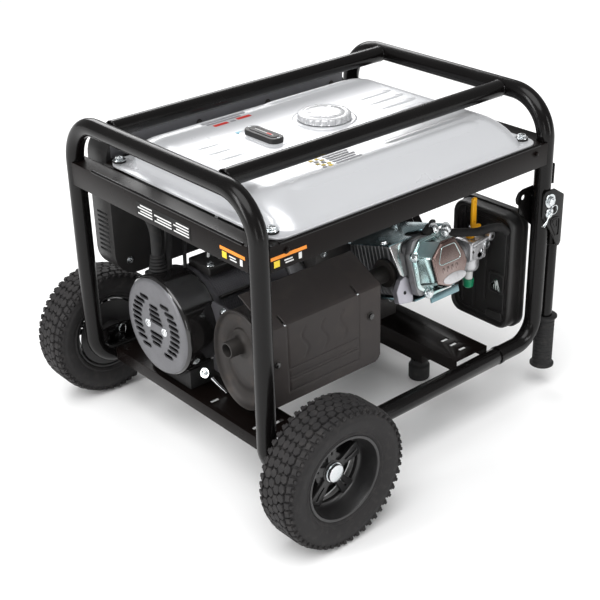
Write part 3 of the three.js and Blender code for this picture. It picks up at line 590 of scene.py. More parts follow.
for side, s in (("left", -1), ("right", 1)):
    g = Geo()
    low, post, top = (s * JOINT_X, LOW_Z), (s * POST_X, LOW_Z), (s * POST_X, TOP_Z)
    corner = [(x, -POST_Y, z) for x, z in (low, post, top)]
    corner += [(x, POST_Y, z) for x, z in (top, post, low)]
    g.tube(bent(corner, BEND_R, 14), TUBE_R, "powder_coat", 36)
    for y in (-BAR_Y, BAR_Y):
        weld_bead(g, (s * (POST_X - TUBE_R - 1.5), y, TOP_Z), X, 13.4, size=1.95)
    for y in (-POST_Y, POST_Y):
        g.lathe(
            [(TUBE_R, 0), (17.2, 0.6), (17.2, 7), (TUBE_R, 8)], "powder_coat",
            (s * JOINT_X, y, LOW_Z), s * X, 36,
        )
    if s < 0:
        for _, t in SIDES:
            outline = rounded_rect(WHEEL_X - 31, 92, WHEEL_X + 31, 152, 12, 5)
            g.prism(outline, -2.4, 2.4, "powder_coat", upright(0, t * BRACKET_Y, 0), 0.8)
            for x in (WHEEL_X - 29, WHEEL_X + 29):
                g.box((x - 2.5, t * 262, 94), (x + 2.5, t * 278, 150), "powder_coat", 1)
            weld_bead(g, (WHEEL_X, t * 266, 129), t * Y, 9, n=20, size=1.8)
            g.lathe(
                [(9, 0), (13.5, 0), (13.5, 4), (9, 4)], "powder_coat", (WHEEL_X, t * 279.0, 125),
                t * Y, 24, closed=True,
            )
    else:
        for _, t in SIDES:
            g.box((POST_X + 15.2, t * 239, 425), (POST_X + 19, t * 261, 463), "powder_coat", 1.2)
    g.make(f"end_hoop_{side}_tube", "frame", (f"end_hoop_{side}",))

for side, s in SIDES:
    g = Geo()
    g.lathe(
        [(0, -223), (15.4, -223), (TUBE_R, -222), (TUBE_R, 222), (15.4, 223), (0, 223)],
        "powder_coat", (0, s * POST_Y, LOW_Z), X, 36,
    )
    g.make(f"lower_rail_{side}_tube", "frame", (f"lower_rail_{side}",))
    g = Geo()
    g.lathe(rod(15, -308, 308), "powder_coat", (0, s * BAR_Y, TOP_Z), X, 36)
    g.make(f"top_bar_{side}_tube", "frame", (f"top_bar_{side}",))

# Folded lip along the top of the front and left rails.
g = Geo()
g.tube([(-296, -261.4, 509.6), (296, -261.4, 509.6)], 2.9, "powder_coat", 14)
g.tube([(-336.6, -228, 509.6), (-336.6, 178, 509.6)], 2.9, "powder_coat", 14)
g.make("cradle_lip", "frame", slot="frame")

# Small coloured bars near the corner of the tank cradle.
g = Geo()


def rail_mark(face, along, z, w, h, mat, lift=0.0):
    """A flat mark on the left rail's or the front rail's outer face."""
    if face == "left":
        g.box((-339.6 - lift, along, z), (-339.0, along + w, z + h), mat, 0.1, 1)
    else:
        g.box((along, -264.6 - lift, z), (along + w, -264.0, z + h), mat, 0.1, 1)


rail_mark("left", -100, 474, 146, 24, "shade_and_print_black")
for column, (y0, w) in enumerate(((2, 40), (-50, 46), (-96, 40))):
    for k in range(4 - (column == 1)):
        rail_mark("left", y0, 477 + k * 5, w - 7 * (k % 2), 2.4, "ink_white", 0.2)
for face, a0, flip in (("left", -234, True), ("front", -315, False)):
    rail_mark(face, a0, 487, 60 if flip else 70, 5.6, "ink_orange")
    rail_mark(face, a0 + (44 if flip else 6), 474.6, 11, 10.4, "ink_yellow")
    rail_mark(face, a0 + (20 if flip else 28), 476, 16, 2.2, "ink_white")
    rail_mark(face, a0 + (22 if flip else 26), 480.4, 16, 2.2, "ink_white")
    rail_mark(face, a0 + (6 if flip else 54), 474.6, 6, 10.4, "ink_white")
g.make("cradle_decals", "frame", slot="face")
g = Geo()
for x in (-284.28, 284.28):
    g.bolt((x, -263.8, 497), -Y, 4.2, "sheet_black")
g.make("cradle_rivets", "frame")


# ---------- folding handles ----------
PIVOT = (325, 399)
HANDLE_X = 361
outer_plate = [
    (-19, 12), (-12, 20), (12, 20), (40, 2), (40, -92), (36, -98), (29, -98), (14, -70), (-19, -28)
]
inner_plate = [
    (-49, 6), (-47, -4), (-40, -9), (-40, -22), (-36, -28), (14, -72), (29, -98), (36, -98),
    (40, -92), (40, 2), (12, 20), (-30, 20), (-43, 16),
]

for side, s in SIDES:
    body = f"handle_{side}"
    px, pz = PIVOT
    y0 = s * POST_Y
    g = Geo()
    flat = upright(px, y0, pz, -s)
    holes = [circle(0, 0, 5.6), circle(0, -24, 4.2)]
    g.prism(rounded(outer_plate, 5, 4), -19.4, -16.4, "powder_coat", flat, 0.7, 2, holes)
    g.prism(
        rounded(inner_plate, 5, 4), 16.4, 19.4, "powder_coat", flat, 0.7, 2,
        [*holes, circle(-30, 4, 5)],
    )
    g.box((px + 36, y0 - 17.4, pz - 92), (px + 39.4, y0 + 17.4, pz - 22), "powder_coat", 0.8)
    g.lathe(
        [(0, 48), (12.5, 48), (12.5, pz - 27), (11, pz - 24), (0, pz - 24)], "powder_coat",
        (HANDLE_X, y0, 0), Z, 32,
    )
    g.bead(
        rounded([(0, -34), (31, -40), (31, -74), (24, -76)], 7, 5), -19.6, 1.7, "powder_coat", flat
    )
    g.bead(rounded([(9, -39), (25, -43), (25, -64)], 5, 4), -19.5, 1.1, "powder_coat", flat)
    weld_bead(g, (HANDLE_X, y0, pz - 97), Z, 12.6, n=30, size=1.9)
    g.make(f"handle_arm_{side}_plates", body, (f"handle_arm_{side}",))

    g = Geo()
    g.lathe(rod(5, -20, 20), "bright_zinc", (px, y0, pz), Y, 20)
    g.bolt((px, y0 + s * 19.6, pz), s * Y, 8.6, height=0.55, turn=0.2)
    g.bolt((px, y0 - s * 19.6, pz), -s * Y, 8.2, height=0.45, turn=0.5)
    g.make(f"handle_pivot_{side}_bolt", "frame", (f"handle_pivot_{side}",))

    g = Geo()
    pin = (px, y0 + s * 19.6, pz - 24)
    g.lathe([(0, -3), (3.4, -3), (3.4, 4.2), (2.6, 5), (0, 5)], "bright_zinc", pin, s * Y, 18)
    g.lathe(
        [(3, 0), (9.6, 0), (9.9, 0.6), (9.4, 1.7), (8, 2.1), (5.5, 1.5), (3, 2.2)], "bright_zinc",
        pin, s * Y, 28,
    )
    g.bead(
        circle(px + 10, pz - 19, 8.5, 16), y0 + s * 22.6, 1.15, "bright_zinc", upright(0, 0, 0, 1)
    )
    for points, count, r in (
        (
            ((2, 23, -24), (-5, 23.6, -29), (-12, 23.4, -38), (-18, 23, -42), (-22, 23, -43)), 14,
            1.15,
        ),
        (((4, 22, -27), (-4, 22, -32), (-9, 22, -42), (-15, 22, -47)), 12, 1.1),
    ):
        clip = spline([(px + x, y0 + s * y, pz + z) for x, y, z in points], count)
        g.tube(clip, r, "bright_zinc", 8)
    g.make(f"handle_lock_pin_{side}_clip", f"lock_pin_{side}", (f"handle_lock_pin_{side}",))

    g = Geo()
    grip = [(0, 42), (21.5, 42), (23, 43), (23, 46), (21.6, 47.4), (19.6, 48.4), (18.6, 51)]
    for z in range(53, 134, 8):
        grip += [(18.2, z), (18.9, z + 0.8), (18.9, z + 6.4), (18.2, z + 7.2)]
    grip += [
        (18.6, 142), (19.6, 144.4), (21.8, 145.4), (23, 147), (23, 149), (21.5, 150), (13, 150),
        (13, 149),
    ]
    g.lathe(grip, "rubber", (HANDLE_X, y0, 0), Z, 40)
    g.make(f"handle_grip_{side}_rubber", body, (f"handle_grip_{side}",))


# ---------- wheels ----------
HUB_Y = 331
TREAD_R = 122  # radius at which the tread blocks are laid out
# (offset along the axle, block width, blocks round the tyre)
tread_rows = [
    (-30, 8.6, 52), (-17.6, 13.4, 44), (-5.8, 13, 48), (5.8, 13, 44), (17.6, 13.4, 48),
    (30, 8.6, 52),
]


def tread_block(g, corners, base, top, matrix, drop):
    """One rubber block from (arc length, offset) corners, rounded at its top edge."""
    cu = sum(c[0] for c in corners) / len(corners)
    cv = sum(c[1] for c in corners) / len(corners)
    rings = []
    for r, k in ((base, 1.0), (top - 0.9, 0.95), (top, 0.86)):
        ring = []
        for u, v in corners:
            vv = cv + (v - cv) * k
            angle = (cu + (u - cu) * k) / TREAD_R
            ring.append((*polar(r - drop * max(0.0, abs(vv) - 27), angle), vv))
        rings.append(ring)
    g.skin(rings, "tyre", matrix)


for side, s in SIDES:
    body = f"wheel_{side}"
    hub = (WHEEL_X, s * HUB_Y, WHEEL_R)
    g = Geo()
    half = [
        (73.6, -27), (75.5, -31), (79, -33.2), (82, -32.6), (85, -34.6), (92, -37.6), (100, -38.9),
        (105, -38.7), (107, -37.4), (109, -37.6), (113, -35.4), (116.6, -32), (118.6, -27),
    ]
    section = half + [(120.4, 0)] + [(r, -h) for r, h in reversed(half)]
    g.lathe(section, "tyre", hub, s * Y, 96, closed=True)
    wheel_m = pointing(hub, s * Y)
    for row, (offset, width, count) in enumerate(tread_rows):
        pitch = 2 * pi * TREAD_R / count
        edge = row in (0, len(tread_rows) - 1)
        corner_count, reach_u, reach_v = (4, 0.55, 0.68) if edge else (6, 0.52, 0.56)
        for k in range(count):
            u0 = (k + (0.5 if row % 2 else 0.0)) * pitch
            corners = []
            for i in range(corner_count):
                a = 2 * pi * (i + 0.5) / corner_count + (0.18 if row % 2 else -0.18)
                ru = pitch * reach_u * (1 + 0.16 * (rnd.random() - 0.5))
                rv = width * reach_v * (1 + 0.16 * (rnd.random() - 0.5))
                corners.append((u0 + ru * cos(a), offset + rv * sin(a)))
            top = (122.6 if edge else 123.8) + 0.4 * rnd.random()
            tread_block(g, corners, 117.2 if edge else 119.4, top, wheel_m, 0.36 if edge else 0.0)
    for sign in (-1, 1):
        for k in range(52):
            ang = 2 * pi * (k + 0.5 * (sign > 0)) / 52
            lug = Matrix.Translation((113.4, 0, sign * 34.2)) @ Matrix.Rotation(sign * -0.5, 4, "Y")
            m = wheel_m @ Matrix.Rotation(ang, 4, "Z") @ lug
            g.box(
                (-6.2, -2.6 - rnd.random() * 0.5, -2.2), (6.4, 2.6 + rnd.random() * 0.5, 2.2),
                "tyre", 0.9, 1, m,
            )
    g.make(f"tyre_{side}_tread", body, (f"tyre_{side}",), smooth=40)

    g = Geo()
    rim = [
        (70, -29), (73.2, -29.5), (73.4, -27), (73.4, 27), (74.6, 29), (74.4, 31), (72.4, 31.6),
        (70, 30.6), (68.6, 27), (66.6, 12), (64.5, 2), (63.4, -2), (61, -4.4), (58.5, -4.8),
        (58, -10), (62, -13), (66.5, -22),
    ]
    g.lathe(rim, "rim_plastic", hub, s * Y, 72, closed=True)
    hub_profile = [
        (8.4, -46), (20, -46), (23, -44), (24.5, -30), (27, -12), (30, -8.5), (30, -5.5),
        (27.5, -4.4), (21.5, -4.4), (20.4, -2.6), (19.6, 1.4), (18, 2), (8.4, 2),
    ]
    g.lathe(hub_profile, "rim_plastic", hub, s * Y, 48, closed=True)
    g.lathe(
        [(24, -30), (66, -30), (66, -27.6), (24, -27.6)], "rim_plastic", hub, s * Y, 48, closed=True
    )
    paddle = rounded(
        [
            (16, -8.4), (27, -8.8), (44, -11.4), (61, -14.6), (61.6, 0), (61, 14.6), (44, 11.4),
            (27, 8.8), (16, 8.4),
        ],
        3, 3,
    )
    paddle_slot = [(30, -1.3), (44, -2.3), (55, -1.7), (56, 0), (55, 1.5), (44, 0.8), (30, 1.3)]
    for a in turns(5, pi / 2):
        rot = wheel_m @ Matrix.Rotation(a, 4, "Z") @ Matrix.Rotation(0.055, 4, "Y")
        g.prism(paddle, -5.6, 1.8, "rim_plastic", rot, 1.7, 3, [paddle_slot])
        for v in (-9.6, 7.4):
            g.box((28, v, -16), (60, v + 2.2, -4), "rim_plastic", 0.8, 1, rot)
    g.make(f"wheel_rim_{side}_spokes", body, (f"wheel_rim_{side}",), smooth=40)

    g = Geo()
    axle = (WHEEL_X, 0, WHEEL_R)
    end = (WHEEL_X, s * 333.6, WHEEL_R)
    g.lathe(rod(8, 267, 334), "bright_zinc", axle, s * Y, 28)
    g.lathe([(8, 0), (16.6, 0), (17, 0.7), (16.8, 2.2), (8, 2.4)], "bright_zinc", end, s * Y, 36)
    g.lathe(
        [(0, 2.2), (15.4, 2.2), (15.6, 6.4), (14.8, 7.8), (12, 8.8), (6, 9.2), (0, 9.3)],
        "bright_zinc", end, s * Y, 36,
    )
    inner = Vector((WHEEL_X, s * 270.5, WHEEL_R))
    g.tube([inner - 20 * Z, inner + 20 * Z], 2.1, "bright_zinc", 10)
    hoop_clip = spline(
        [
            inner + Vector((x, -s, z))
            for x, z in ((0, 20), (6, 26), (14, 22), (12, 8), (9, 0), (12, -10), (8, -20))
        ],
        26,
    )
    g.tube(hoop_clip, 1.3, "bright_zinc", 8)
    g.make(f"axle_{side}_pin", "frame", (f"axle_{side}",))


# ---------- fuel tank ----------
TANK = dict(x0=-276, x1=276, y0=-228, y1=172)
FLANGE = dict(x0=-300, x1=300, y0=-258, y1=190)
TANK_Z, TANK_TOP = 510.3, 556.0
CAP_AT = (34, 5, TANK_TOP)

g = Geo()
bolts = [(x, y) for x in (-284, 284) for y in (-230, 174)]
g.prism(
    rounded_rect(FLANGE["x0"], FLANGE["y0"], FLANGE["x1"], FLANGE["y1"], 26), TANK_Z, TANK_Z + 3.6,
    "tank_paint", None, 1.2, 3, [circle(x, y, 5.4) for x, y in bolts],
)
# The long front slope: its start and reach along y from the tank's edge, its foot and rise.
SLOPE = dict(low=-23, run=65, z=514, rise=42, power=1.45)
DOME_R = 32  # height of the rounded shoulder
side = []
for k in range(20):
    a = k / 19 * pi / 2
    z = TANK_TOP - DOME_R + DOME_R * sin(a)
    front = SLOPE["low"] + SLOPE["run"] * ((z - SLOPE["z"]) / SLOPE["rise"]) ** SLOPE["power"]
    side.append((2.2 + 40 * (1 - cos(a)), z, 38 - 10 * (1 - cos(a)), front))
foot = [
    (-3.4, TANK_Z + 3.2, 40, -27), (-1.4, TANK_Z + 4.2, 39, -24.5), (0, TANK_Z + 7, 38, -22),
    (1.2, TANK_Z + 11, 38, -19),
]
# Each level is (inset, height, corner radius, inset of the front slope).
dome = []
for inset, z, r, front in foot + side:
    loop = rounded_rect(
        TANK["x0"] + inset, TANK["y0"] + front, TANK["x1"] - inset, TANK["y1"] - inset, r, 9
    )
    dome.append((loop, z))
g.loft("tank_paint", dome)


def top_height(y):
    """Height of the tank's skin over the line y, away from its ends."""
    if y < 0:
        u = min(1, (y - TANK["y0"] - SLOPE["low"]) / SLOPE["run"])
        return SLOPE["z"] + SLOPE["rise"] * u ** (1 / SLOPE["power"])
    inset = TANK["y1"] - y
    if inset > 42.2:
        return TANK_TOP
    return TANK_TOP - DOME_R + DOME_R * sin(acos(max(-1, min(1, 1 - (inset - 2.2) / 40))))


# Long pressed ribs, each a shallow swelling with rounded ends.
ribs = [(-184, -214, 214, 23), (-156, 10, 226, 22)]
ribs += [(y, x0, x1, 22) for y in (-122, -92) for x0, x1 in ((-226, -156), (106, 226))]
ribs += [(134, 0, 226, 24)]
ribs += [(y, x0, x1, 22) for y in (-58, -26, 6, 38) for x0, x1 in ((-236, -156), (126, 236))]
for y, x0, x1, r in ribs:
    path, width = [], []
    z = top_height(y) - r + 1.9
    for k in range(41):
        t = k / 40
        e = min(t, 1 - t) * (x1 - x0) / 34
        path.append(Vector((x0 + (x1 - x0) * t, y, z)))
        width.append(r - 2.9 * (1 - sin(min(e, 1) * pi / 2)))
    g.tube(path, width, "tank_paint", 56)
# Collar under the cap and the shallow seat of the gauge.
g.lathe(
    [(58, -1), (57, 0.6), (53, 1.6), (50, 1.2), (48, 0.4), (30, 0.3), (30, -1)], "tank_paint",
    CAP_AT, Z, 72, closed=True,
)
g.prism(
    rounded_rect(-126, -46, -80, 56, 20), TANK_TOP - 0.4, TANK_TOP + 0.9, "tank_paint", None, 0.6
)
g.make("fuel_tank_shell", "frame", ("fuel_tank",), smooth=50)

g = Geo()
for k, (x, y) in enumerate(bolts):
    g.lathe(
        [(4.6, 0), (11, 0), (11.6, 1), (11.2, 3), (10, 3.6), (4.6, 3.6)], "rubber",
        (x, y, TANK_Z + 3.8), Z, 28, closed=True,
    )
    g.bolt((x, y, TANK_Z + 7.4), Z, 7.4, turn=0.4 + k)
g.make("tank_bolts", "frame", slot="steel")

# Generic decals: soft blocks and bars, no lettering.
g = Geo()


def decal(x0, y0, x1, y1, mat, lift=0.8):
    """A flat mark that stands this far above the tank's top."""
    z = TANK_TOP + lift
    g.box((x0, y0, z - 0.5), (x1, y1, z), mat, 0.15, 1)


for k in range(5):
    y = -171 + k * 8.4
    decal(-96, y, -42 - 6 * (k % 2), y + 4.8, "ink_grey", 0.7)
    for j in range(2):
        x = -124 + j * 12 + 4 * (k % 2)
        decal(x, y, x + 7, y + 5.6, "ink_yellow" if (j + k) % 3 else "ink_grey", 0.7)
for x0, x1, y, h, mat in (
    (-140, -46, 126, 7, "ink_grey"), (-136, -62, 117, 5, "ink_grey"),
    (-130, -100, 103, 8, "ink_red"), (-94, -84, 104, 6, "ink_grey"), (-78, -48, 105, 8, "ink_red"),
    (-124, -107, 47, 9, "ink_blue"),
):
    decal(x0, y, x1, y + h, mat)
g.make("tank_decals", "frame", slot="silver")


# Fuel cap with finger grooves.
def knurl(a, r, h):
    """Radius of the cap's skin, with 22 grooves round its rim."""
    return r - (1.9 * (0.5 + 0.5 * cos(22 * a)) ** 4 if r > 44.5 and 2.6 < h < 11.2 else 0)


g = Geo()
profile = [
    (0, 1.2), (40, 1.2), (46, 1.4), (47.4, 2.2), (47.6, 3.4), (47.5, 5), (47.3, 7), (47.1, 9),
    (46.6, 10.4), (45.2, 11.6), (43, 12.4), (39.5, 12.8), (38.4, 12.2), (36, 12.1), (34.6, 13),
    (22, 13.7), (10, 14.1), (0, 14.2),
]
g.lathe(profile, "cap_paint", CAP_AT, Z, 224, radius=knurl)
for a in turns(3, 0.5):
    rot = Matrix.Translation(CAP_AT) @ Matrix.Rotation(a, 4, "Z")
    g.prism(rounded_rect(14, -3.4, 31, 3.4, 3.3, 5), 13, 14.6, "cap_paint", rot, 0.7)
g.lathe(rod(27, -9, 1.3), "black_plastic", CAP_AT, Z, 40)
g.make("fuel_cap_knurled", "filler_cap", ("fuel_cap",), smooth=34)

g = Geo()
gx, gy = -104, 3
g.prism(
    rounded_rect(gx - 15, gy - 42, gx + 15, gy + 42, 13.6, 8), TANK_TOP + 0.4, TANK_TOP + 10,
    "black_plastic", None, 1.8, 4,
)
g.prism(
    rounded_rect(gx - 8.8, gy - 34, gx + 8.8, gy + 34, 8, 8), TANK_TOP + 9.6, TANK_TOP + 10.9,
    "sheet_black", None, 0.8, 3,
)
g.box((gx - 2, gy - 20, TANK_TOP + 10.6), (gx + 2, gy - 8, TANK_TOP + 11.1), "ink_red", 0.2, 1)
g.box(
    (gx - 0.7, gy - 24, TANK_TOP + 10.6), (gx + 0.7, gy + 24, TANK_TOP + 11.05), "ink_white", 0.2, 1
)
for y in (-38, 38):
    g.bolt((gx, gy + y, TANK_TOP + 9.8), Z, 2.4, washer=False, height=0.4)
g.make("fuel_gauge_window", "frame", ("fuel_gauge",))


# ---------- alternator ----------
CRANK = (74, 241)

COVER_AT = (-305, *CRANK)
face_m = side_on(*COVER_AT)
left = [
    (30, 49), (43, 38.5), (50, 28.5), (54, 18), (56, 7.5), (56, -3), (54, -13.5), (50, -24),
    (44, -34.5), (32, -46),
]
slots = [(t * y, z, 28 if abs(z) < 45 else 26) for t in (1, -1) for y, z in left]
slots += [
    (3, 37, 25), (2, 27.5, 31), (0, 18.5, 35), (-3, 10, 36), (0, -15, 38), (1, -24.5, 33),
    (2, -34, 25),
]
g = Geo()
g.prism(
    circle(0, 0, 76, 72), 1.6, 4.6, "face_metal_and_reflection", face_m, 0, 1,
    [capsule(y, z, w, 7.6) for y, z, w in slots],
)
g.lathe(
    [(75.9, 1.6), (80, 1.7), (84, 2.5), (87, 4.2), (88.2, 5.6), (88, 8), (85, 8.6), (75.9, 4.6)],
    "face_metal_and_reflection", COVER_AT, X, 96, closed=True,
)
for y, z, w in slots:
    g.bead(capsule(y, z, w + 1.2, 8.6, 4), 1.6, 0.55, "face_metal_and_reflection", face_m, 5)
g.lathe(
    [
        (88.3, 5), (90.4, 7), (91.9, 9.4), (92.7, 12), (93, 17), (93, 66), (92.4, 72),
        (90.6, 75.4), (88.5, 76), (88.5, 12), (86, 8.4),
    ],
    "gloss_black", COVER_AT, X, 96, closed=True,
)
# Near-black disc behind the slotted face: painted shade inside the alternator. The fan blades in
# front of it use the same near-black.
g.lathe(rod(84, 22, 23.5), "shade_and_print_black", COVER_AT, X, 48)
for a in turns(14):
    blade = ((-283, 44, a), (-289, 52, a + 0.2), (-283, 60, a + 0.4))
    g.tube([(x, *polar(r, b, *CRANK)) for x, r, b in blade], 3, "shade_and_print_black", 6)
for y, z in ((23, 0), (-25, -1)):
    at = (-303.4, CRANK[0] + y, CRANK[1] + z)
    g.lathe([(0, 0), (7.4, 0), (7.8, 0.4), (7.4, 1), (0, 1.1)], "bright_zinc", at, -X, 24)
    g.bolt((at[0] - 0.6, at[1], at[2]), -X, 5.2, washer=False, height=0.16, turn=y)
g.make("alternator_cover_slotted", "frame", ("alternator_cover",), smooth=42)

# Laminated stator between two clamp bands.
g = Geo()
profile = [(62, 0.6), (86, 0.6), (87, 1.6), (87, 40), (86, 41.4), (84.6, 42)]
profile += [(84.6 - (0.7 if k % 2 else 0), 44 + k * 2.2) for k in range(48)]
profile += [(84.6, 150), (86, 151), (87, 152.4), (87, 195), (86, 196.6), (62, 196.6)]
g.lathe(profile, "plate_grey", (-257.7, *CRANK), X, 96, closed=True)
for a in (0.62, 2.5, 3.9, 5.6):
    at = Vector((-214, *polar(88, a, *CRANK)))
    g.tube([at, at + 110 * X], 3.2, "iron_dark", 10)
g.make("alternator_stator_core", "frame", ("alternator_stator",), smooth=30)

# Grey plate that ties the alternator to the cross member, with its bolts.
g = Geo()
outline = rounded(
    [
        (-52, 62), (4, 62), (10, 46), (10, -76), (-52, -76), (-30, -50), (-17, -12), (-17, 12),
        (-30, 44),
    ],
    5, 4,
)
g.prism(outline, 0, 4, "plate_grey", side_on(-240, -12, 238), 1.2, 3)
g.bolt((-240.4, -42, 290), -X, 6.4)
g.bolt((-264, -8, 168), (-0.86, -0.3, 0.4), 5.8, turn=0.7)
g.tube(spline([(-258, -18, 160), (-252, -28, 148), (-244, -40, 134)], 8), 2.6, "bright_zinc", 10)
g.make("alternator_bracket", "frame", slot="plastic")

# Ribbed boot and cable conduits between the alternator and the control panel.
g = Geo()
LEAD_X, LEAD_Y, LEAD_TOP, LEAD_BEND = -272, 100, 437, 44
lead = [(LEAD_X, LEAD_Y, 332), (LEAD_X, LEAD_Y, LEAD_TOP - LEAD_BEND)]
for k in range(1, 9):
    y, z = polar(LEAD_BEND, pi - pi / 16 * k, LEAD_Y + LEAD_BEND, LEAD_TOP - LEAD_BEND)
    lead.append((LEAD_X, y, z))
lead.append((LEAD_X, 203, LEAD_TOP))
g.tube(lead, 9.6, "rubber", 24)
for k in range(6):
    g.lathe(
        [(9, 0), (17 - k, 0.6), (17.6 - k, 2.4), (16 - k, 4.4), (9, 5)], "rubber",
        (LEAD_X, LEAD_Y, 327 + k * 6), Z, 28, closed=True,
    )
g.prism(rounded_rect(-291, 80, -254, 120, 8), 321, 329, "rubber", None, 2, 3)
for y in range(152, 185, 8):
    g.lathe(
        [(9, 0), (10.6, 0.8), (10.6, 3), (9, 4)], "rubber", (LEAD_X, y, LEAD_TOP), Y, 24,
        closed=True,
    )
for points, count, r, mat, n in (
    (
        (
            (-256, 92, 330), (-250, 98, 356), (-238, 112, 390), (-226, 140, 414), (-216, 176, 424),
            (-212, 203, 426),
        ),
        36, 6.4, "rubber", 18,
    ),
    (
        ((-236, 70, 334), (-226, 84, 348), (-200, 120, 372), (-184, 170, 390), (-180, 203, 392)),
        32, 3.4, "rubber", 12,
    ),
    (
        ((-196, 60, 330), (-176, 80, 344), (-130, 130, 350), (-80, 180, 356), (-60, 203, 360)), 32,
        3.0, "white_plastic", 12,
    ),
):
    g.tube(spline(points, count), r, mat, n)
g.make("output_conduits", "frame", ("output_lead",), smooth=45)
g = Geo()
g.box((-214, 30, 322), (-122, 92, 340), "black_plastic", 4, 3)
for x, y in ((-204, 40), (-132, 40), (-168, 56)):
    g.bolt((x, y, 340), Z, 5.4, turn=x)
g.make("alternator_terminal_cover", "frame", slot="plastic")


# ---------- muffler and its heat shield ----------
MUF = (-106, 231)
MUF_HALF = (74, 92)  # half width and half height of the oval drum
g = Geo()

# The drum as (share of its half width and height, x).
ends = [
    (0, -253.4), (0.3, -253.2), (0.52, -252.6), (0.6, -250.6), (0.66, -248.6), (0.74, -248.2),
    (0.84, -249.2), (0.91, -251), (0.945, -255), (0.962, -258.6), (0.978, -259.8), (0.994, -259),
    (1.0, -256.6), (0.997, -254), (0.984, -252), (0.98, -249), (0.98, -48), (0.99, -38),
    (1.0, -33), (0.99, -30.6), (0.96, -30.4), (0.93, -34), (0.8, -38), (0, -38.4),
]
g.lathe(ends, "muffler_steel", n=88, matrix=side_on(0, *MUF) @ Matrix.Diagonal((*MUF_HALF, 1, 1)))
stub = (-252, MUF[0] + 4, MUF[1] + 28)
g.lathe(
    [
        (11, 4), (11, 30), (11.8, 32.4), (13.6, 32.4), (14.6, 31), (14.6, 9), (15.6, 5), (19, 2.4),
        (27, 1), (29, -2), (11, -2),
    ],
    "iron_dark", stub, -X, 40, closed=True,
)
# Near-black disc inside the outlet's bore: painted shade in the pipe.
g.lathe(rod(11.4, 2, 3), "shade_and_print_black", stub, -X, 24)
# Exhaust pipe to the cylinder head, with its flange.
g.tube(bent([(-38, -122, 292), (66, -122, 292)], 10, 2), 15.6, "iron_dark", 28)
g.lathe([(0, 0), (26, 0), (27, 1), (27, 7), (26, 8), (0, 8)], "iron_dark", (57.4, -122, 292), X, 28)
g.make("muffler_shell", "frame", ("muffler",), slot="iron", smooth=45)

# Pressed heat shield.
SH = dict(x0=-272, x1=-26, y=-200, z0=182, z1=328)
FRONT_DEPTH = 0.9  # how far the skin lies behind the shield's foremost plane
COLS, ROWS, TOP_ROWS = 124, 76, 40
TOP_DY, TOP_DZ = 74, 38
SLITS = (-238, -79)  # x of the slots across the crease


def seg_d(px, pz, ax, az, bx, bz):
    """Distance of a point from a line segment."""
    dx, dz = bx - ax, bz - az
    t = max(0, min(1, ((px - ax) * dx + (pz - az) * dz) / (dx * dx + dz * dz)))
    return hypot(px - ax - t * dx, pz - az - t * dz)


lines = [
    (-234, 326, -230, 200), (-77, 326, -75, 200), (-230, 243, -75, 243), (-230, 227, -75, 227),
    (-230, 222, -75, 222), (-230, 201, -75, 201),
]
# Rising heat shown as three generic waves.
waves = []
for k in range(3):
    cx = -196 + k * 42
    pts = [(cx + 7 * sin(t / 10 * 2 * pi), 255 + t * 5.4) for t in range(11)]
    waves += [(*a, *b) for a, b in zip(pts, pts[1:])]


def groove(x, z):
    """Depth of the pressed lines and waves at a point of the shield's front."""
    d = max(1 - seg_d(x, z, *a) / 2.4 for a in lines)
    w = max(1 - seg_d(x, z, *a) / 3.2 for a in waves)
    return 1.6 * max(d, 0) ** 0.8 + 1.5 * max(w, 0) ** 0.7


xs = [SH["x0"] + (SH["x1"] - SH["x0"]) * (k / COLS) for k in range(COLS + 1)]
rings = []
for k in range(ROWS):
    z = SH["z0"] + (SH["z1"] - SH["z0"]) * (k / ROWS)
    rings.append([Vector((x, SH["y"] + FRONT_DEPTH + groove(x, z) * 0.8, z)) for x in xs])
for k in range(1, TOP_ROWS + 1):
    t = k / TOP_ROWS
    z = SH["z1"] + TOP_DZ * t - max(0, 0.06 - t) * 20
    rings.append([Vector((x, SH["y"] + FRONT_DEPTH + TOP_DY * t, z)) for x in xs])
n = COLS + 1
faces = []


def cut_out(x, row, z):
    """Rounded lower-right corner and the two slots across the crease."""
    dx, dz = x - (SH["x1"] - 16), (SH["z0"] + 16) - z
    if row < ROWS and dx > 0 and dz > 0 and hypot(dx, dz) > 16:
        return True
    return ROWS <= row < ROWS + 9 and any(abs(x - sx) < 2.4 for sx in SLITS)


for j in range(len(rings) - 1):
    for i in range(COLS):
        c = (rings[j][i] + rings[j + 1][i + 1]) / 2
        if not cut_out(c.x, j, c.z):
            faces.append([j * n + i, j * n + i + 1, (j + 1) * n + i + 1, (j + 1) * n + i])
g = Geo()
g.add([q for ring in rings for q in ring], faces, "heat_paint")
shield = g.make("muffler_shield_pressed", "frame", ("muffler_shield",), smooth=28)
solid = shield.modifiers.new("thickness", "SOLIDIFY")
solid.thickness = 0.0016
solid.offset = -1
g = Geo()
for x, z in ((-258, 263), (-50, 276)):
    g.lathe(
        [(0, 0), (7.6, 0), (8, 0.5), (7.4, 1.1), (0, 1.2)], "iron_dark", (x, SH["y"] + 0.6, z), -Y,
        24,
    )
    g.bolt((x, SH["y"] - 0.2, z), -Y, 5.6, "gloss_black", washer=False, height=0.6, turn=x)
for sx in SLITS:
    g.box((sx - 2.2, -199.5, 326), (sx + 2.2, -182, 328), "bright_zinc", 0.4, 1)
g.make("muffler_shield_bolts", "frame")


# ---------- engine top: barrel, head, valve cover, shroud ----------
TILT = radians(16)
S_AXIS = Vector((0, -cos(TILT), sin(TILT)))
T_AXIS = Vector((0, sin(TILT), cos(TILT)))
# Cylinder frame: x along the crankshaft, y across the barrel, z outwards along the barrel.
CYL = Matrix(
    (
        (1, 0, 0, 120), (0, T_AXIS.y, S_AXIS.y, CRANK[0]), (0, T_AXIS.z, S_AXIS.z, CRANK[1]),
        (0, 0, 0, 1),
    )
)

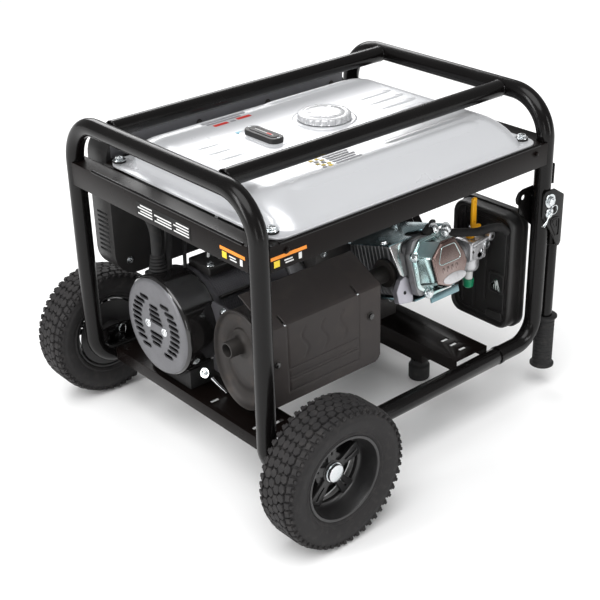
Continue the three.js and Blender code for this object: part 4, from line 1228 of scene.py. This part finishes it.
g = Geo()
fin = rounded_rect(-54, -54, 54, 54, 15, 5)
g.prism(circle(0, 0, 43, 40), 97, 212, "cast_grey", CYL)
for k in range(11):
    s = 104 + k * 9.6
    g.prism(fin, s, s + 2.6, "cast_grey", CYL, 0.9, 2)
for u, v in ((-40, -40), (40, -40), (40, 40), (-40, 40)):
    g.prism(circle(u, v, 9, 20), 98, 216, "cast_grey", CYL)
g.prism(fin, 211, 216, "cast_grey", CYL, 0.8, 2)
for k in range(3):
    g.prism(
        rounded_rect(-54, -50, 54, 50, 12, 4), 222 + k * 9, 225 + k * 9, "cast_grey", CYL, 0.8, 2
    )
g.prism(rounded_rect(-47, -47, 47, 47, 14, 4), 214, 262, "cast_grey", CYL, 1, 2)
g.prism(
    rounded(
        [(-50, -48), (50, -48), (53, -18), (53, 30), (40, 52), (-40, 52), (-53, 30), (-53, -24)],
        9, 4,
    ),
    254, 268, "cast_grey", CYL, 1, 2,
)
g.make("cylinder_head_castings", "frame", ("cylinder_and_head",), smooth=40)

cover = [(-46, -30), (-18, -50), (30, -46), (48, -18), (48, 24), (26, 46), (-26, 46), (-46, 24)]

g = Geo()
m = CYL @ Matrix.Translation((0, 0, 268.4))
flange = rounded(scaled(cover, 1.1), 12, 6)
g.loft(
    "plated_teal",
    [(flange, 0), (flange, 2.2), (scaled(flange, 0.985), 3.0), (scaled(flange, 0.955), 3.4)], m,
)
crown = rounded(
    [(-33, -30), (-6, -42), (30, -38), (49, -10), (46, 9), (28, 42), (-8, 42), (-35, 20)], 7, 6
)


def between(a, b, t):
    """Outline at share t of the way from outline a to outline b."""
    return [(x + (u - x) * t, y + (v - y) * t) for (x, y), (u, v) in zip(a, b)]


side = [(scaled(flange, 0.925), 3.2), (scaled(flange, 0.90), 3.9), (scaled(flange, 0.885), 5.6)]
side += [(between(scaled(flange, 0.87), crown, t), 7 + 21 * t) for t in (0.1, 0.55, 1.0)]
for k in range(1, 7):
    a = k / 6 * pi / 2
    side.append((scaled(crown, 1 - 0.13 * (1 - cos(a)), 0.3, 0.3), 28 + 8 * sin(a)))
g.loft("plated_teal", side[:-4], m, cap=False)
g.loft("plated_brown", side[-5:], m)
top_z = 36.0  # height of the cover's crown above its flange
g.bead(rounded([(-25, 2), (34, 2), (23, 32), (-10, 32)], 6, 5), top_z, 0.9, "plated_teal", m)
for x in (-14, -3, 8, 19):
    g.prism(
        rounded_rect(x - 2.6, -14, x + 2.6, -4, 2, 3), top_z - 0.3, top_z + 0.9, "plated_brown", m,
        0.4,
    )
lens = [(26 * cos(a), 3 + 8.5 * sin(a)) for a in turns(32)]
g.prism(
    [(x * 1.1 + 9, y * 1.1 - 31) for x, y in lens], top_z - 0.3, top_z + 1.0, "cast_light", m, 0.5
)
for u, v in ((-47, 24), (-29, -47), (48, -23), (33, 46)):
    g.prism(circle(u, v, 8.6, 24), 0.2, 4.6, "plated_teal", m, 0.8)
    g.bolt(m @ Vector((u, v, 4.6)), S_AXIS, 6.2, height=0.75, turn=u)
g.make("valve_cover_plated", "frame", ("valve_cover",), smooth=40)

# Sheet shroud: top with a scooped front edge, front cheek with a soft lower corner.
g = Geo()
scoop = [(26 + 22 * cos(a) - 34, 256 - 34 * sin(a)) for a in (pi * k / 14 for k in range(15))]
top = [(-86, 128), (54, 128), (54, 256), *scoop, (-86, 256)]
g.prism(top, 54.3, 56.3, "zinc_top", CYL @ upright(0, 0, 0, 1), 0.5, 2)
cheek = rounded(
    [(-86, 54.6), (-72, -1), (-66, -6), (-56, -6), (-56, 30), (-61, 40), (-56, 50), (-50, 54.6)],
    4, 4,
)
g.prism(cheek, 254, 256, "zinc_front", CYL, 0.5, 2)
g.tube([CYL @ Vector((x, 54.4, 254.2)) for x in (-86, -50)], 1.7, "zinc_top", 10)
for x, s in ((-78, 140), (-78, 236), (40, 140)):
    g.bolt(CYL @ Vector((x, 56.3, s)), T_AXIS, 4.6)
g.make("cylinder_shroud_sheet", "frame", ("cylinder_shroud",), smooth=35)

# Spark plug boot with its lead, and small bolts on the head.
g = Geo()
boot = [
    CYL @ Vector(p)
    for p in ((-2, 50, 262), (6, 58, 262), (20, 62, 254), (40, 62, 238), (62, 56, 220))
]
g.tube(spline(boot, 26), [9] * 6 + [8] * 5 + [4.2] * 16, "rubber", 14)
for u, v in ((14, 57), (44, 50)):
    g.bolt(CYL @ Vector((u, v, 266)), S_AXIS, 7.6, height=0.9, turn=v)
g.make("spark_plug_boot", "frame")

# Cooling strip, lip and cast bracket below the head.
g = Geo()
g.prism(
    [(-50, 0), (52, 0), (52, 3), (-50, 3)], 150, 256, "zinc_top",
    CYL @ Matrix.Translation((0, -58, 0)), 0.6,
)
g.box((-20, -70, 262), (52, -57, 265), "zinc_top", 0.8, 2, CYL)
g.prism(
    rounded([(-84, -52), (-50, -58), (-44, -20), (-58, -8), (-70, -12), (-84, -30)], 5, 4), 240,
    252, "cast_lilac", CYL, 1.5, 3,
)
# Near-black disc on the bracket: painted shade standing for a hole.
g.lathe(rod(3.4, 0, 0.3), "shade_and_print_black", CYL @ Vector((-66, -36, 252)), S_AXIS, 16)
g.make("head_baffles", "frame", slot="zinc")


# ---------- carburettor and intake ----------
CARB_X, CARB_Y, CARB_Z = 249, -152, 292


def carb(x, y, z):
    """Point at an offset from the carburettor's centre."""
    return (CARB_X + x, CARB_Y + y, CARB_Z + z)


g = Geo()
g.lathe(rod(15.6, 176, 288), "cast_grey", (0, CARB_Y, CARB_Z), X, 32)
side_m = side_on(0, CARB_Y, CARB_Z)
g.prism(rounded_rect(-26, -22, 26, 22, 9, 4), 175, 184, "cast_grey", side_m, 1, 2)
body = [
    (1.0, 228), (1.06, 231), (1.06, 236), (0.94, 239), (0.92, 252), (0.98, 256), (1.08, 262),
    (1.08, 268), (1.0, 270),
]
ring = rounded_rect(-19, -17, 19, 19, 8, 4)
g.loft("cast_light", [(scaled(ring, k * 1.1), x) for k, x in body], side_m)
bowl = [
    (0, -44), (12, -44), (16, -42.4), (18, -39), (18.6, -34), (18.6, -22), (19, -20), (19, -17.5),
    (17.5, -16), (15, -13), (0, -12),
]
g.lathe(bowl, "cast_light", carb(0, 0, 0), Z, 40)
for dx, dy in ((-11, -11), (11, -11), (-11, 11), (11, 11)):
    g.bolt(carb(dx, dy, 17.8), Z, 3.4, height=0.6)
g.tube([carb(-16, -21, 14), carb(30, -23, 22)], 3.6, "cast_light", 12)
g.lathe(
    [(0, 0), (8.4, 0), (8.8, 1), (8.6, 9), (7, 10), (0, 10)], "cast_light", carb(31, -17, 22), -Y,
    28,
)
g.lathe(rod(3.4, 10, 11), "iron_dark", carb(31, -17, 22), -Y, 16)
g.box(carb(-20, -22, -4), carb(-12, -17, 14), "cast_light", 2, 3)
g.bolt(carb(-13, -18.5, 3), -Y, 4.2, "iron_dark")
g.bolt(carb(10, -17.6, -2), -Y, 5)
for k in range(4):
    g.lathe(
        [(6, k * 2.2), (6.8, k * 2.2 + 0.6), (6, k * 2.2 + 1.6)], "bright_zinc", carb(19, -18, 10),
        -Y, 16, closed=True,
    )
g.lathe(rod(3, 0, 26), "bright_zinc", carb(0, 0, 17), Z, 16)
for dx, dz, r, h in ((-8, 6, 6.5, 7), (4, -8, 7.5, 6), (14, -12, 5, 8), (-14, -10, 4.5, 5)):
    g.lathe(
        [(0, 0), (r, 0), (r * 0.95, h - 1), (r * 0.8, h), (0, h)], "cast_light", carb(dx, -16, dz),
        -Y, 20,
    )
g.prism(
    rounded([(-20, -14), (14, -20), (20, 8), (6, 22), (-20, 22)], 6, 4), 17, 22, "cast_light",
    upright(*carb(0, 0, 0)), 1.6, 3,
)
g.make("carburettor_castings", "frame", ("carburettor",), slot="alloy", smooth=40)
g = Geo()
g.lathe(
    [(0, -10), (7.2, -10), (7.6, -9), (7.6, 8), (6.4, 10), (0, 10)], "white_plastic",
    carb(-4, -4, -52), Z, 28,
)
g.lathe(
    [(0, -18), (6.5, -18), (9.6, -15), (10, -8), (10.4, -7), (10.4, -1), (9.6, 0), (0, 0)],
    "green", carb(-4, -4, -60), Z, 32,
)
g.make("fuel_drain_cup", "frame", slot="plastic")

# Choke lever: flat upright arm with a side branch and two small holes.
g = Geo()
up_m = upright(CARB_X, CARB_Y - 4.2, 0)
arm = rounded(
    [
        (-5.4, 316.4), (6, 316.4), (6, 330), (17, 330.5), (21, 334), (17, 337.5), (6, 339),
        (5.6, 392), (3, 394), (-3, 394), (-5.6, 391),
    ],
    2, 4,
)
g.prism(arm, 0, 4.4, "orange", up_m, 0.9, 2, [circle(0, 347, 1.5, 12), circle(0, 386, 1.2, 12)])
for x in (-3.4, 3.2):
    g.tube([up_m @ Vector((x, z, 4.4)) for z in (350, 382)], 0.7, "orange", 6)
g.lathe(
    [(3.4, 0), (8, 0), (8.4, 1), (8.4, 10), (7.4, 12), (3.4, 12)], "orange",
    (CARB_X, CARB_Y, 313.4), Z, 28, closed=True,
)
g.make("choke_lever_arm", "choke", ("choke_lever",))

# Thick breather hose from the head to the air cleaner.
g = Geo()
route = [
    (166, -122, 326), (194, -140, 334), (222, -158, 333), (242, -176, 334), (260, -192, 341),
    (276, -202, 340), (287, -207, 328),
]
g.tube(spline(route, 44), 7.8, "rubber", 20)
g.lathe(
    [(8, 0), (9, 0), (9.2, 1), (9.2, 5), (8, 5)], "bright_zinc", (191, -137, 329),
    (0.8, -0.6, 0.2), 24, closed=True,
)
g.make("breather_hose", "frame", slot="rubber")


# ---------- air cleaner ----------
A = dict(x0=288, x1=332, y0=-220, y1=-72, z0=124, z1=358)
g = Geo()


def face_rect(grow, r):
    """Outline of the housing grown on all sides, with corners of radius r."""
    return rounded_rect(A["y0"] - grow, A["z0"] - grow, A["y1"] + grow, A["z1"] + grow, r, 7)


yz = side_on(0, 0, 0)
x0, x1 = A["x0"], A["x1"]
levels = [
    (-9, x0 + 5, 20), (-7.6, x0 + 1.6, 21), (-5, x0 + 0.2, 23), (-2.4, x0 + 1.2, 25),
    (-0.8, x0 + 4, 26), (0, x0 + 9, 27), (0, x0 + 14, 27), (0, x1 - 18, 27),
]
g.loft("black_plastic", [(face_rect(gr, r), x) for gr, x, r in levels], yz)
g.bead(
    rounded_rect(A["y0"] + 18, A["z0"] + 18, A["y1"] - 18, A["z1"] - 18, 16, 5), x0 + 4.6, 1.7,
    "black_plastic", yz,
)
# Recess for the clip, the moulded foot below it, and three ribs.
g.prism(rounded_rect(-204, 196, -168, 238, 6, 4), x0 + 1, x0 + 6, "black_plastic", yz, 1.6, 3)
# Near-black floor of the clip's recess: painted shade.
g.prism(rounded_rect(-201, 200, -172, 234, 5, 4), x0 + 0.6, x0 + 1.2, "shade_and_print_black", yz)
g.prism(
    rounded([(-206, 140), (-160, 140), (-166, 156), (-200, 158)], 5, 4), x0 + 0.8, x0 + 6,
    "black_plastic", yz, 1.6, 3,
)
for y, w, z0, z1, r in (
    (-160, 4, 172, 330, 1.4), (-132, 3, 150, 348, 1.2), (-104, 3, 150, 348, 1.2)
):
    g.box((x0 + 0.6, y, z0), (x0 + 6, y + w, z1), "black_plastic", r)
g.make("air_cleaner_base", "frame", ("air_cleaner",), smooth=40)
g = Geo()
levels = [
    (0.6, x1 - 17.6, 28), (3.2, x1 - 17.2, 29), (4, x1 - 15.6, 30), (4, x1 - 8, 30),
    (3.2, x1 - 4, 29), (1, x1 - 1.4, 27), (-3, x1 - 0.2, 24), (-16, x1, 20),
]
g.loft("black_plastic", [(face_rect(gr, r), x) for gr, x, r in levels], yz)
g.bead(face_rect(-26, 14), x1 - 0.2, 1.9, "black_plastic", yz)
for k in range(6):
    g.box((x1 - 2, -188, 204 + k * 20), (x1 + 1.7, -104, 209 + k * 20), "black_plastic", 1.6, 3)
g.lathe(
    [(0, -1), (15, -1), (15, 0.6), (13, 1.8), (0, 1.8)], "black_plastic", (x1, -146, 174), X, 32
)
g.lathe(
    [(0, 1), (8, 1), (8.6, 3), (8.2, 8), (6.6, 9.4), (0, 9.6)], "black_plastic", (x1, -146, 174),
    X, 32,
)
g.box((x1 + 3, -162, 171.4), (x1 + 8, -130, 176.6), "black_plastic", 2.2, 3)
g.make("air_cleaner_lid_shell", "frame", ("air_cleaner_lid",), smooth=40)
g = Geo()
clip_m = side_on(x0 + 0.4, 0, 0, -1)
g.prism(
    rounded([(-200, 200), (-176, 206), (-174, 214), (-186, 226), (-190, 226)], 2, 3), 0, 1.4,
    "plated", clip_m, 0.5,
)
for k in range(3):
    g.tube(
        [
            clip_m @ Vector(p)
            for p in ((-195 + k * 6, 204 + k, 1.5), (-189 + k * 3, 221 - k * 3, 1.5))
        ],
        0.8, "plated", 6,
    )
g.make("air_cleaner_clip", "frame", slot="steel")


# ---------- control panel ----------
PX0, PX1, PZ0, PZ1 = -292, 270, 284, 554  # outline of the housing
# Grey strip along the housing's back, above the cradle rail: a painted reflection, lighter than the
# black housing there.
g = Geo()
g.box((PX0 + 10, 202.4, 512), (PX1 - 12, 204.6, PZ1 - 5), "face_metal_and_reflection", 0.5, 2)
for k in range(4):
    g.bolt((PX0 + 40 + k * 160, 202.4, 531), -Y, 4, "iron_dark", turn=k)
g.make("panel_back_reflection_strip", "frame", slot="plastic")
OUT = 265.3  # outer face of the panel plate, 3 mm thick
pf = upright(0, OUT - 3, 0, 1)
switch_hole = rounded_rect(136, 428, 164, 472, 2, 3)
button_holes = [circle(x, 440, 6.6, 24) for x in (-30, 40)]
g = Geo()
g.prism(
    rounded_rect(PX0 + 1, PZ0 + 1, PX1 - 1, PZ1 - 1, 45, 10), 0, 3, "panel_black", pf, 1, 3,
    [switch_hole, *button_holes],
)
for x0, x1 in ((-256, -84), (-70, 66), (84, 234)):
    g.bead(rounded_rect(x0, 298, x1, 402, 8, 4), 3, 0.9, "panel_grey", pf)
for k, (x, z) in enumerate(((-272, 318), (-272, 520), (250, 318), (250, 520))):
    g.bolt((x, OUT, z), Y, 4.6, "iron_dark", turn=k)
# Bezel of the engine switch.
g.prism(rounded_rect(132, 424, 168, 476, 6, 5), 2.6, 9, "black_plastic", pf, 1.2, 3, [switch_hole])
# Bars that stand for the printed legends.
for x, z, w in (
    (150, 486, 30), (150, 492, 18), (-30, 456, 22), (40, 456, 22), (-170, 410, 60), (-2, 410, 60),
    (-170, 500, 44),
):
    g.box((x - w / 2, OUT - 0.3, z - 1.3), (x + w / 2, OUT + 0.4, z + 1.3), "ink_white", 0.2, 1)
for x in (110, 210):
    g.box((x - 22, OUT - 0.3, 350), (x + 22, OUT + 0.4, 392), "panel_grey", 0.2, 1)
    for k in range(4):
        g.box(
            (x - 17, OUT, 356 + k * 8), (x + 10 - 5 * (k % 2), OUT + 0.6, 358.4 + k * 8),
            "ink_white", 0.2, 1,
        )
# Ground terminal.
g.lathe([(0, 0), (9, 0), (9, 1.4), (0, 1.4)], "bright_zinc", (110, OUT, 322), Y, 24)
g.bolt((110, OUT + 1.4, 322), Y, 7, washer=False, height=0.8)
g.lathe([(0, 6), (3, 6), (3, 11), (2.4, 12), (0, 12)], "bright_zinc", (110, OUT, 322), Y, 20)
g.make("panel_face_plate", "frame", ("panel_face",), slot="face", smooth=40)

for side, x in (("left", -210), ("right", -130)):
    g = Geo()
    at = (x, OUT + 0.3, 350)
    ring = [
        (0, 0), (29, 0), (29, 2.4), (27.8, 3.6), (26, 4), (25, 7.6), (23.6, 8.8), (21.6, 9),
        (20.6, 8), (20.2, 3.2), (0, 3),
    ]
    g.lathe(ring, "black_plastic", at, Y, 56)
    # Three of the four slots are near-black: painted shade in the openings. The fourth is bright
    # zinc.
    for k in range(4):
        a = k * pi / 2 + 0.35
        pts = [polar(12.4, a + d) for d in (-0.42, -0.2, 0, 0.2, 0.42)]
        m = upright(x, OUT + 3.6, 350, 1)
        g.tube(
            [m @ Vector((u, v, 0)) for u, v in pts], 1.5, "shade_and_print_black" if k else "bright_zinc", 8
        )
    for a in (0.8, 2.37, 3.94, 5.5):
        g.bolt((x + 25.4 * cos(a), OUT + 4, 350 + 25.4 * sin(a)), Y, 1.8, washer=False, height=0.3)
    g.make(f"round_socket_{side}_body", "frame", (f"round_socket_{side}",), smooth=40)

for side, x in (("left", -34), ("right", 30)):
    g = Geo()
    m = upright(x, OUT + 0.3, 350, 1)
    g.prism(rounded_rect(-21, -34, 21, 34, 6, 5), 0, 2.4, "black_plastic", m, 0.9, 3)
    for v in (-16.5, 16.5):
        face = [(px, max(-11.5, min(11.5, pz)) + v) for px, pz in circle(0, 0, 15.4, 40)]
        g.prism(face, 2.2, 5.2, "black_plastic", m, 0.7, 3)
        blades = [
            rounded_rect(u, v + low, u + 2, v + 7, 0.6, 2) for u, low in ((-7.4, -1), (5.4, 0.4))
        ]
        # Near-black patches on the face stand for the blade and ground holes: painted shade.
        for hole in (*blades, circle(0, v - 6, 2.6, 16)):
            g.prism(hole, 5, 5.5, "shade_and_print_black", m)
    g.bolt(m @ Vector((0, 0, 2.2)), Y, 2.6, washer=False, height=0.4)
    g.make(f"duplex_socket_{side}_body", "frame", (f"duplex_socket_{side}",), smooth=40)

g = Geo()
at = (-170, OUT + 0.3, 465)
g.lathe(
    [(0, 0), (27, 0), (27, 4), (26, 6.4), (24, 7.7), (22.4, 7.6), (21.8, 4), (0, 4)],
    "black_plastic", at, Y, 56,
)
g.lathe(rod(21.9, 3.6, 4.4), "ink_white", at, Y, 48)
m = upright(-170, OUT + 4.9, 465, 1)
for k in range(11):
    a = radians(205 - k * 23)
    r0 = 15.6 if k % 5 else 14
    g.tube([m @ Vector((*polar(r, a), 0)) for r in (r0, 19)], 0.45, "shade_and_print_black", 6)
g.tube([m @ Vector((-2, -3, 0.5)), m @ Vector((-11, 8, 0.5))], 0.6, "ink_red", 6)
g.lathe([(0, 4), (3, 4), (3, 6), (0, 6.4)], "black_plastic", at, Y, 20)
g.make("voltmeter_dial", "frame", ("voltmeter",), smooth=40)

for side, x in (("left", -30), ("right", 40)):
    box_lo, box_hi = node_box(f"breaker_button_{side}")
    depth = box_hi.y - box_lo.y
    g = Geo()
    prof = [
        (0, 0), (5.8, 0), (5.9, depth - 1.6), (5.2, depth - 0.4), (4, depth), (3.4, depth - 0.5),
        (0, depth - 0.6),
    ]
    g.lathe(prof, "red_gloss", (x, box_lo.y, 440), Y, 32)
    g.make(f"breaker_button_{side}_cap", f"button_{side}", (f"breaker_button_{side}",))
refined("engine_switch", "red_gloss", "switch", 0.9, 3)

# Screws and vents on the back and the side of the panel housing.
g = Geo()
for x in (-262, -60, 120, 240):
    for z in (312, 430):
        g.bolt((x, 203.8, z), -Y, 4.4, turn=x)
# The side vents are near-black bars: painted shade in the openings.
for k in range(9):
    g.box((-292.6, 218, 330 + k * 9), (-291.2, 250, 334 + k * 9), "shade_and_print_black", 0.4, 1)
g.make("panel_screws", "frame", slot="steel")


# ---------- smaller engine fittings ----------
lo, hi = node_box("engine_block")
g = Geo()
for x, z in ((0, 168), (0, 318), (60, 168), (172, 168), (172, 222), (0, 240)):
    g.bolt((x, lo.y, z), -Y, 5.4, turn=x + z)
g.lathe(
    [(0, 0), (17, 0), (18, 1), (18, 5), (15, 7), (15, 16), (13.4, 18), (0, 18)], "black_plastic",
    (150, lo.y + 2, 190), (0, -0.94, 0.34), 36,
)
for k in range(4):
    g.box((26 + k * 20, lo.y - 3.2, 160), (32 + k * 20, lo.y + 1, 214), "cast_dark", 2, 2)
for x, z in ((10, 160), (10, 230), (10, 320), (178, 160)):
    g.bolt((x, hi.y, z), Y, 5.4, turn=x + z)
for k in range(5):
    g.box((40 + k * 24, hi.y - 1, 170), (47 + k * 24, hi.y + 4, 300), "cast_dark", 2, 2)
g.box((lo.x + 4, lo.y + 8, hi.z - 1), (90, 60, hi.z + 3), "cast_dark", 2, 2)
g.make("crankcase_fittings", "frame", slot="alloy", smooth=40)

g = Geo()
for a in turns(6, 0.3):
    g.bolt((252, *polar(92, a, *CRANK)), X, 4.6, turn=a)
for a in turns(16):
    m = Matrix.Translation((297.6, *CRANK)) @ Matrix.Rotation(a, 4, "X")
    g.box((-1, 20, -1.6), (1.4, 44, 1.6), "sheet_black", 0.7, 2, m)
g.lathe([(0, 0), (17, 0), (17, 1.6), (15, 2.6), (0, 2.6)], "sheet_black", (298, *CRANK), X, 40)
g.make("recoil_details", "frame", slot="frame")


# ---------- floor, light and camera ----------
def stage_material(name, color, rough):
    """Plain material of the studio."""
    m = bpy.data.materials.new(name)
    m.use_nodes = True
    s = m.node_tree.nodes["Principled BSDF"]
    s.inputs["Base Color"].default_value = (*color, 1)
    s.inputs["Roughness"].default_value = rough
    return m


floor_mesh = bpy.data.meshes.new("studio_floor")
floor_mesh.from_pydata([(-30, -30, 0), (30, -30, 0), (30, 30, 0), (-30, 30, 0)], [], [(0, 1, 2, 3)])
floor_mesh.materials.append(stage_material("studio_white", (0.96, 0.96, 0.96), 0.75))
floor = bpy.data.objects.new("studio_floor", floor_mesh)
bpy.context.scene.collection.objects.link(floor)

world = bpy.data.worlds.new("studio_sky")
world.use_nodes = True
world.node_tree.nodes["Background"].inputs["Color"].default_value = (1, 1, 1, 1)
world.node_tree.nodes["Background"].inputs["Strength"].default_value = 0.3
bpy.context.scene.world = world
bpy.context.scene.view_settings.view_transform = "Standard"


def area_light(name, at, target, size, power):
    """Rectangular lamp that faces its target."""
    data = bpy.data.lights.new(name, "AREA")
    data.shape = "RECTANGLE"
    data.size, data.size_y = size
    data.energy = power
    o = bpy.data.objects.new(name, data)
    o.location = at
    o.rotation_euler = (Vector(target) - Vector(at)).to_track_quat("-Z", "Y").to_euler()
    bpy.context.scene.collection.objects.link(o)


sun_data = bpy.data.lights.new("soft_sun", "SUN")
sun_data.energy = 2.55
sun_data.angle = radians(55)
sun = bpy.data.objects.new("soft_sun", sun_data)
sun.rotation_euler = (
    Vector((0, 0, 0)) - Vector((-0.35, -0.25, 1.0))
).to_track_quat("-Z", "Y").to_euler()
bpy.context.scene.collection.objects.link(sun)
area_light("strip_left", (-2.6, 0.3, 1.3), (0, 0, 0.3), (0.5, 1.8), 34)
area_light("strip_right", (0.9, -2.8, 1.1), (0, 0, 0.3), (0.4, 1.6), 14)
area_light("front_low", (-2.0, -2.2, 0.7), (0, 0, 0.25), (0.5, 0.8), 4)
area_light("rim_back", (1.2, 2.2, 1.8), (0, 0, 0.3), (2.0, 1.0), 30)

CAMERA_AT = Vector((-1.3665, -1.5674, 1.2854))
AZIMUTH, ELEVATION, ROLL = (radians(a) for a in (-40.317, 27.242, -1.421))
back = Vector((sin(AZIMUTH) * cos(ELEVATION), -cos(AZIMUTH) * cos(ELEVATION), sin(ELEVATION)))
right = (-back).cross(Z).normalized()
up = right.cross(-back)
axis_x = cos(ROLL) * right + sin(ROLL) * up
axis_y = -sin(ROLL) * right + cos(ROLL) * up
camera_data = bpy.data.cameras.new("photo_camera")
camera_data.sensor_width = 36
camera_data.lens = 75.99  # from the camera solved for the photograph's viewpoint
camera_data.clip_end = 100
camera = bpy.data.objects.new("photo_camera", camera_data)
bpy.context.scene.collection.objects.link(camera)
turn = Matrix((axis_x, axis_y, back)).transposed().to_4x4()
camera.matrix_world = Matrix.Translation(CAMERA_AT) @ turn
bpy.context.scene.camera = camera
